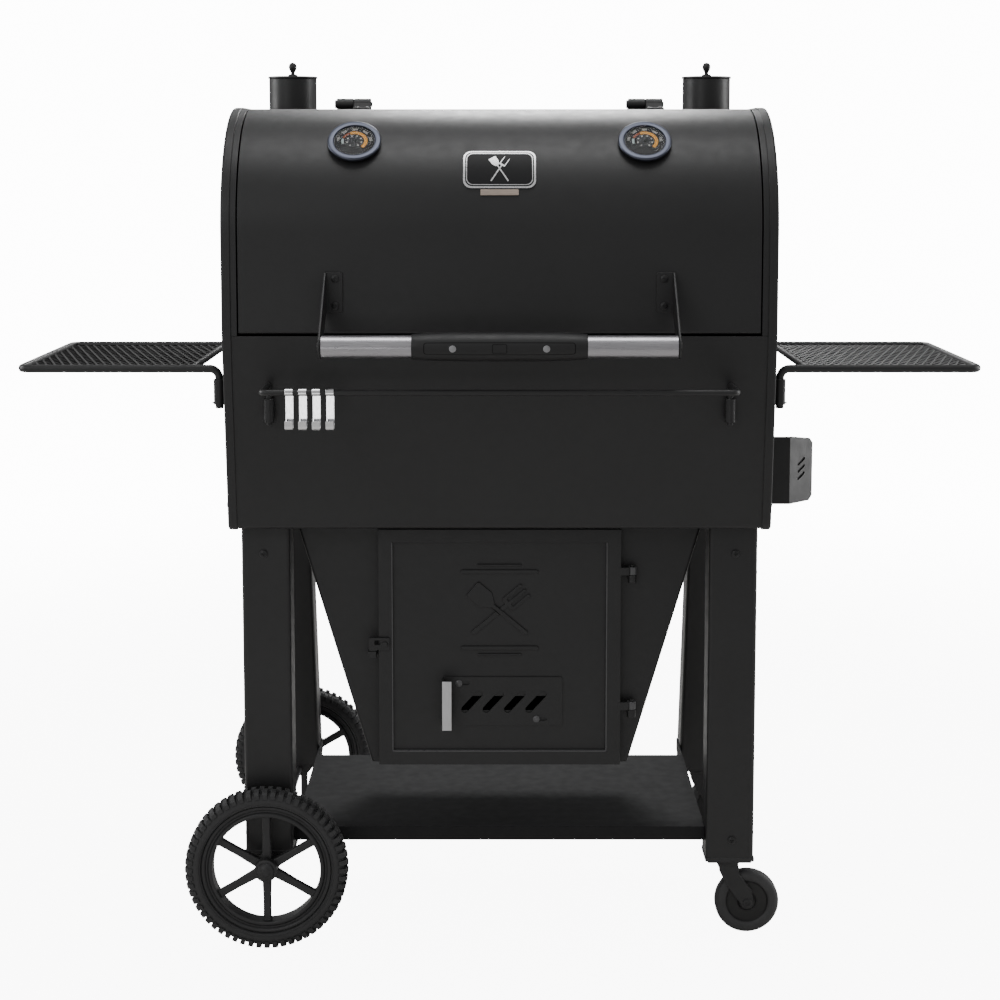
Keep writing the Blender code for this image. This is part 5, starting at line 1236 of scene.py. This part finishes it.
def make_casters():
    """Swivel casters: a pressed fork with its axle bolt, and a wheel of a tyre ring and a core."""
    for word, distance in CASTER_BACK.items():
        y = back(distance)
        fork_high = LEG_LOW_Z["right"] - 0.0003 - 0.003 - 0.0015
        fork_low = fork_high - 0.004
        crown = prism(circle(0.021, (CASTER_X, y), 64), "Z", fork_low, fork_high,
                      [circle(0.0064, (CASTER_X, y), 32)])
        piece(f"{word}_fork_crown", crown, BLACK, f"{word}_swivel", f"{word}_caster_fork", ease=0.0010)
        axle_x, axle_z = CASTER_X + CASTER_TRAIL, CASTER_RADIUS
        inner, thick = 0.0135, 0.0025
        cheeks = []
        for _, side in SIDES:
            outline = [(CASTER_X - 0.0150, fork_high - 0.0020), (CASTER_X - 0.0150, fork_low - 0.010),
                       (CASTER_X - 0.004, 0.0800), (axle_x - 0.0150, axle_z + 0.0050)]
            outline += circle(0.0095, (axle_x, axle_z), 20, math.radians(-165.0), math.radians(185.0))
            outline += [(axle_x + 0.0070, 0.0700), (CASTER_X + 0.0170, 0.0960),
                        (CASTER_X + 0.0150, fork_high - 0.0020)]
            ys = sorted((y + side * inner, y + side * (inner + thick)))
            cheeks.append(prism(outline, "Y", *ys))
        piece(f"{word}_fork_cheeks", merged(*cheeks), BLACK, f"{word}_swivel", ease=0.0008)
        reach = inner + thick
        fasteners = [rod(0.0040, (axle_x, y - reach, axle_z), (axle_x, y + reach, axle_z), 0.0, 32)]
        for _, side in SIDES:
            head = [(0.0, 0.0), (0.0066, 0.0), (0.0066, 0.0012), (0.0056, 0.0020), (0.0034, 0.0020),
                    (0.0026, 0.0008), (0.0, 0.0008)]
            fasteners.append(turned(head, pointing((0, side, 0), (axle_x, y + side * reach, axle_z)), 40))
        piece(f"{word}_fork_bolt", merged(*fasteners), BLACK, f"{word}_swivel")
        turn = pointing((0.0, 1.0, 0.0), (axle_x, y, axle_z))
        r, w = CASTER_RADIUS, 0.012
        tread = [(0.0330, -w + 0.0026), (0.0350, -w + 0.0010), (0.0385, -w), (0.0440, -w + 0.0004),
                 (0.0478, -w + 0.0026), (r, -w + 0.0062)]
        tread += [(q, -h) for q, h in tread[::-1]]
        core = [(0.0044, -0.0118), (0.0115, -0.0118), (0.0125, -0.0106), (0.0150, -0.0070),
                (0.0310, -0.0070), (0.0330, -w + 0.0028)]
        core += [(q, -h) for q, h in core[::-1]]
        piece(f"{word}_caster_tread", turned(tread, turn, 96, ring=True), CASTER_GREY, f"{word}_roller",
              f"{word}_caster_wheel", sharp=45.0)
        core_mesh = turned(core, turn, 96, ring=True)
        piece(f"{word}_caster_core", core_mesh, CASTER_DARK, f"{word}_roller", sharp=40.0)


# ---- Side shelves, rack, hooks and hood ---------------------------------------------------------------

def expanded_mesh(x0, x1, y0, y1, z):
    """Expanded metal: two families of strands, cut to the frame, with flattened knuckles."""
    pitch_x, pitch_y = 0.0128, 0.0420
    strand, thick = 0.0014, 0.0009
    parts = bmesh.new()
    columns = int((x1 - x0) / (pitch_x / 2.0)) + 2
    rows = int((y1 - y0) / (pitch_y / 2.0)) + 2

    def bar(a, b):
        a, b = Vector(a), Vector(b)
        along = (b - a).normalized()
        side = Vector((-along.y, along.x, 0.0)) * strand
        tilt = 0.0005
        ring = []
        for end in (a - along * 0.0004, b + along * 0.0004):
            ring.append([end + side + Vector((0, 0, thick - tilt)), end - side + Vector((0, 0, thick)),
                         end - side + Vector((0, 0, -thick + tilt)), end + side + Vector((0, 0, -thick))])
        rows_made = [[parts.verts.new(p) for p in loop] for loop in ring]
        for k in range(4):
            n = (k + 1) % 4
            parts.faces.new((rows_made[0][k], rows_made[0][n], rows_made[1][n], rows_made[1][k]))
        parts.faces.new(rows_made[0][::-1])
        parts.faces.new(rows_made[1])

    for i in range(-1, columns):
        for j in range(-1, rows):
            if (i + j) % 2:
                continue
            x, y = x0 + i * pitch_x / 2.0, y0 + j * pitch_y / 2.0
            for dx in (pitch_x / 2.0, -pitch_x / 2.0):
                ends = clip_line((x, y), (x + dx, y + pitch_y / 2.0), (x0, y0, x1, y1))
                if ends:
                    (ax, ay), (bx, by) = ends
                    if math.hypot(bx - ax, by - ay) > 0.001:
                        bar((ax, ay, z), (bx, by, z))
    bmesh.ops.recalc_face_normals(parts, faces=parts.faces[:])
    return parts


def clip_line(start, end, box):
    """The part of a line inside a box, or nothing."""
    x0, y0, x1, y1 = box
    dx, dy = end[0] - start[0], end[1] - start[1]
    low, high = 0.0, 1.0
    for p, q in ((-dx, start[0] - x0), (dx, x1 - start[0]), (-dy, start[1] - y0), (dy, y1 - start[1])):
        if abs(p) < 1e-12:
            if q < 0:
                return None
            continue
        t = q / p
        if p < 0:
            low = max(low, t)
        else:
            high = min(high, t)
    if low >= high:
        return None
    return ((start[0] + dx * low, start[1] + dy * low), (start[0] + dx * high, start[1] + dy * high))


def make_shelves():
    """Bent tube frames with expanded metal between them."""
    for word, side in SIDES:
        front_y, rear_y = back(SHELF_FRONT), back(SHELF_REAR)
        inner, outer, bar_x = side * SLEEVE_X, side * SHELF_OUTER_X, side * SHELF_INNER_X
        corners = [(inner, front_y, 0.8375), (inner, front_y, SHELF_Z), (outer, front_y, SHELF_Z),
                   (outer, rear_y, SHELF_Z), (inner, rear_y, SHELF_Z), (inner, rear_y, 0.8375)]
        tube = swept(bent_route(corners, 0.014), SHELF_TUBE, 28, 0.0008)
        piece(f"{word}_shelf_tube", tube, BLACK, "cart", f"{word}_shelf_frame")
        bar = rod(0.005, (bar_x, front_y + 0.0055, SHELF_Z), (bar_x, rear_y - 0.0055, SHELF_Z))
        piece(f"{word}_shelf_bar", bar, BLACK, "cart", f"{word}_shelf_crossbar")
        xs = sorted((side * (SHELF_INNER_X + 0.002), side * (SHELF_OUTER_X - 0.003)))
        grid = expanded_mesh(xs[0], xs[1], front_y + 0.003, rear_y - 0.003, SHELF_Z + 0.0005)
        piece(f"{word}_expanded_mesh", grid, BLACK, "cart", f"{word}_shelf_mesh")
        # A near-black sheet under the expanded metal: painted shade where the mesh would otherwise show the bright
        # backdrop.
        ys = (front_y + 0.003, rear_y - 0.003)
        sheet = prism([(xs[0], ys[0]), (xs[1], ys[0]), (xs[1], ys[1]), (xs[0], ys[1])], "Z",
                      SHELF_Z - 0.0010, SHELF_Z - 0.0004)
        piece(f"{word}_shelf_shade_sheet", sheet, DARK, "cart")


def make_rack():
    """The front rail, its two sleeves with pins, and the flat hooks that hang on it."""
    sleeve_y, rail_y = back(0.004), back(RACK_FORWARD)
    corners = [(-RACK_X, sleeve_y, 0.8175), (-RACK_X, sleeve_y, RACK_Z), (-RACK_X, rail_y, RACK_Z),
               (RACK_X, rail_y, RACK_Z), (RACK_X, sleeve_y, RACK_Z), (RACK_X, sleeve_y, 0.8175)]
    piece("rack_rail", swept(bent_route(corners, 0.009), RACK_RADIUS, 24, 0.0006), BLACK, "cart", "tool_rack")
    parts, webs = [], []
    for _, side in SIDES:
        x = side * RACK_X
        parts.append(pipe(0.008, 0.0049, (x, sleeve_y, 0.8215), (x, sleeve_y, 0.8570), 0.0008))
        pin = ((x + reach, sleeve_y - 0.001, 0.8238) for reach in (-0.0095, 0.0095))
        parts.append(rod(0.0011, *pin, 0.0004, 12))
        web, low, high = sleeve_y + 0.0065, 0.8245, 0.854
        webs.append(prism([(web, low), (back(tub_wall(low) + 0.001), low), (back(tub_wall(high) + 0.001), high),
                           (web, high)], "X", x - 0.004, x + 0.004))
    piece("rack_sleeves", merged(*parts, *webs), BLACK, "cart")
    for number in range(4):
        make_hook(number)


def make_hook(number):
    """A flat strip bent over the rail, down behind it and up at the front."""
    y, z = back(RACK_FORWARD), RACK_Z
    thick, bend = 0.0018, 0.0075
    over = RACK_RADIUS + 0.0004 + thick / 2.0
    low_z = z - 0.061 + over + bend + thick
    path = circle(over, (y, z), 26, math.radians(205.0), math.radians(-205.0))
    path += circle(bend, (y + over - bend, low_z), 22, 0.0, -math.pi)
    path.append((path[-1][0] - 0.001, low_z + 0.006))
    left, right = [], []
    for k, point in enumerate(path):
        before, after = path[max(k - 1, 0)], path[min(k + 1, len(path) - 1)]
        ahead = (Vector(after) - Vector(before)).normalized()
        normal = Vector((-ahead.y, ahead.x)) * (thick / 2.0)
        left.append(tuple(Vector(point) + normal))
        right.append(tuple(Vector(point) - normal))
    x = HOOK_FIRST_X + number * HOOK_PITCH
    strip = folded(left, right, x - HOOK_HALF, x + HOOK_HALF)
    piece(f"hook_strip_{number + 1}", strip, CHROME, f"hook_{number + 1}", f"tool_hook_{number + 1}",
          ease=0.0004)


def make_hood():
    """The bent shield over the air port."""
    dress("air_port_hood", BLACK, 0.0005)
    # A near-black plate behind the hood's slots: painted shade seen through them.
    along, inward = Vector((1.0, 1.0)).normalized(), Vector((-1.0, 1.0)).normalized()
    middle = Vector((HOOD_SLOTS_X, back(HOOD_SLOTS_BACK)))
    corners = [middle + along * run + inward * depth
               for run, depth in ((-0.013, 0.0009), (0.013, 0.0009), (0.013, 0.0019), (-0.013, 0.0019))]
    piece("hood_slot_shade_plate", prism([tuple(c) for c in corners], "Z", 0.697, 0.739), DARK, "cart")
    screws = [phillips(0.0040, (0.4112, back(0.190), z), (1, 0, 0)) for z in (0.690, 0.746)]
    piece("hood_screws", merged(*screws), BLACK, "cart")


def make_inside():
    """What is under the lid and behind the door keeps its CAD solids with a rough iron finish."""
    for node in ("left_cooking_grate", "right_cooking_grate", "charcoal_basket", "ash_pan"):
        dress(node, IRON, 0.0008)


# ---- Studio -------------------------------------------------------------------------------------------

def make_floor():
    """A pale floor that fades into the backdrop."""
    mesh = bmesh.new()
    bmesh.ops.create_circle(mesh, cap_ends=True, radius=9.0, segments=96)
    data = bpy.data.meshes.new("studio_floor")
    mesh.to_mesh(data)
    mesh.free()
    floor = bpy.data.objects.new("studio_floor", data)
    bpy.context.scene.collection.objects.link(floor)
    material = bpy.data.materials.new("studio_floor")
    material.use_nodes = True
    tree = material.node_tree
    tree.nodes.clear()
    out, rays = new_node(tree, "OutputMaterial"), new_node(tree, "LightPath")
    diffuse = new_node(tree, "BsdfDiffuse", Color=(0.66, 0.65, 0.635, 1.0))
    glow, off = new_node(tree, "Emission", Strength=FLOOR_GLOW), new_node(tree, "Emission", Strength=0.0)
    pick, add, mix = (new_node(tree, kind) for kind in ("MixShader", "AddShader", "MixShader"))
    clear, place = new_node(tree, "BsdfTransparent"), new_node(tree, "TexCoord")
    length = new_node(tree, "VectorMath")
    length.operation = "LENGTH"
    fade = new_node(tree, "MapRange", From_Min=1.3, From_Max=4.0)
    fade.interpolation_type = "SMOOTHSTEP"
    join(tree, (rays.outputs["Is Camera Ray"], pick.inputs["Fac"]), (off.outputs[0], pick.inputs[1]),
         (glow.outputs[0], pick.inputs[2]), (diffuse.outputs[0], add.inputs[0]),
         (pick.outputs[0], add.inputs[1]), (place.outputs["Object"], length.inputs[0]),
         (length.outputs["Value"], fade.inputs["Value"]), (fade.outputs["Result"], mix.inputs["Fac"]),
         (add.outputs[0], mix.inputs[1]), (clear.outputs[0], mix.inputs[2]),
         (mix.outputs[0], out.inputs["Surface"]))
    data.materials.append(material)
    floor.location.z = -0.0004


def make_world():
    """A white backdrop for the camera, and a dim surround that brightens towards the zenith."""
    world = bpy.data.worlds.new("studio")
    bpy.context.scene.world = world
    world.use_nodes = True
    tree = world.node_tree
    tree.nodes.clear()
    out, rays, pick = (new_node(tree, kind) for kind in ("OutputWorld", "LightPath", "MixShader"))
    seen, lit = new_node(tree, "Background", Strength=SKY_SEEN), new_node(tree, "Background")
    place, split = new_node(tree, "TexCoord"), new_node(tree, "SeparateXYZ")
    height = new_node(tree, "MapRange", From_Min=0.0, From_Max=1.0, To_Min=SKY_LOW, To_Max=SKY_HIGH)
    join(tree, (place.outputs["Generated"], split.inputs[0]), (split.outputs["Z"], height.inputs["Value"]),
         (height.outputs["Result"], lit.inputs["Strength"]), (rays.outputs["Is Camera Ray"], pick.inputs["Fac"]),
         (lit.outputs[0], pick.inputs[1]), (seen.outputs[0], pick.inputs[2]),
         (pick.outputs[0], out.inputs["Surface"]))


def softbox(name, place, aim, size, power):
    """A rectangular soft light aimed at a point."""
    data = bpy.data.lights.new(name, "AREA")
    data.shape = "RECTANGLE"
    data.size, data.size_y = size
    data.energy = power
    light = bpy.data.objects.new(name, data)
    light.location = place
    light.rotation_mode = "QUATERNION"
    light.rotation_quaternion = (Vector(aim) - Vector(place)).to_track_quat("-Z", "Y")
    bpy.context.scene.collection.objects.link(light)


def make_lights():
    """A high softbox behind the lid for its sheen, soft boxes at the sides and a weak front one."""
    softbox("high_rear", (0.1, 2.1, 2.7), (0.0, 0.0, 1.2), (0.8, 0.9), 48.0)
    softbox("overhead", (0.0, -0.5, 3.6), (0.0, 0.0, 0.6), (1.6, 1.2), 26.0)
    softbox("low_front", (-0.56, FRONT_Y - 3.1, 0.45), (-0.28, FRONT_Y, 0.84), (0.4, 0.4), 1.6)
    softbox("front_fill", (-2.2, -3.6, 2.4), (0.0, 0.0, 0.7), (1.6, 1.6), 22.0)
    softbox("right_edge", (3.0, 0.4, 1.2), (0.0, 0.0, 0.7), (1.0, 2.0), 44.0)
    softbox("left_edge", (-3.0, 0.2, 1.6), (0.0, 0.0, 0.8), (1.0, 1.8), 44.0)


def make_camera():
    """A long lens just above the lid's height, tilted down to the middle of the object."""
    data = bpy.data.cameras.new("camera")
    data.lens = 70.83
    data.shift_x = 0.0004
    data.shift_y = -0.13
    camera = bpy.data.objects.new("camera", data)
    camera.location = (0.0, FRONT_Y - 2.880, 1.2148)
    camera.rotation_euler = (math.radians(90.0 - 6.24), 0.0, 0.0)
    bpy.context.scene.collection.objects.link(camera)
    bpy.context.scene.camera = camera


make_barrel()
make_end_caps()
make_gauges()
make_badge()
make_handle()
make_stacks()
make_firebox()
make_door()
make_cart()
make_wheels()
make_casters()
make_shelves()
make_rack()
make_hood()
make_inside()
make_floor()
make_world()
make_lights()
make_camera()
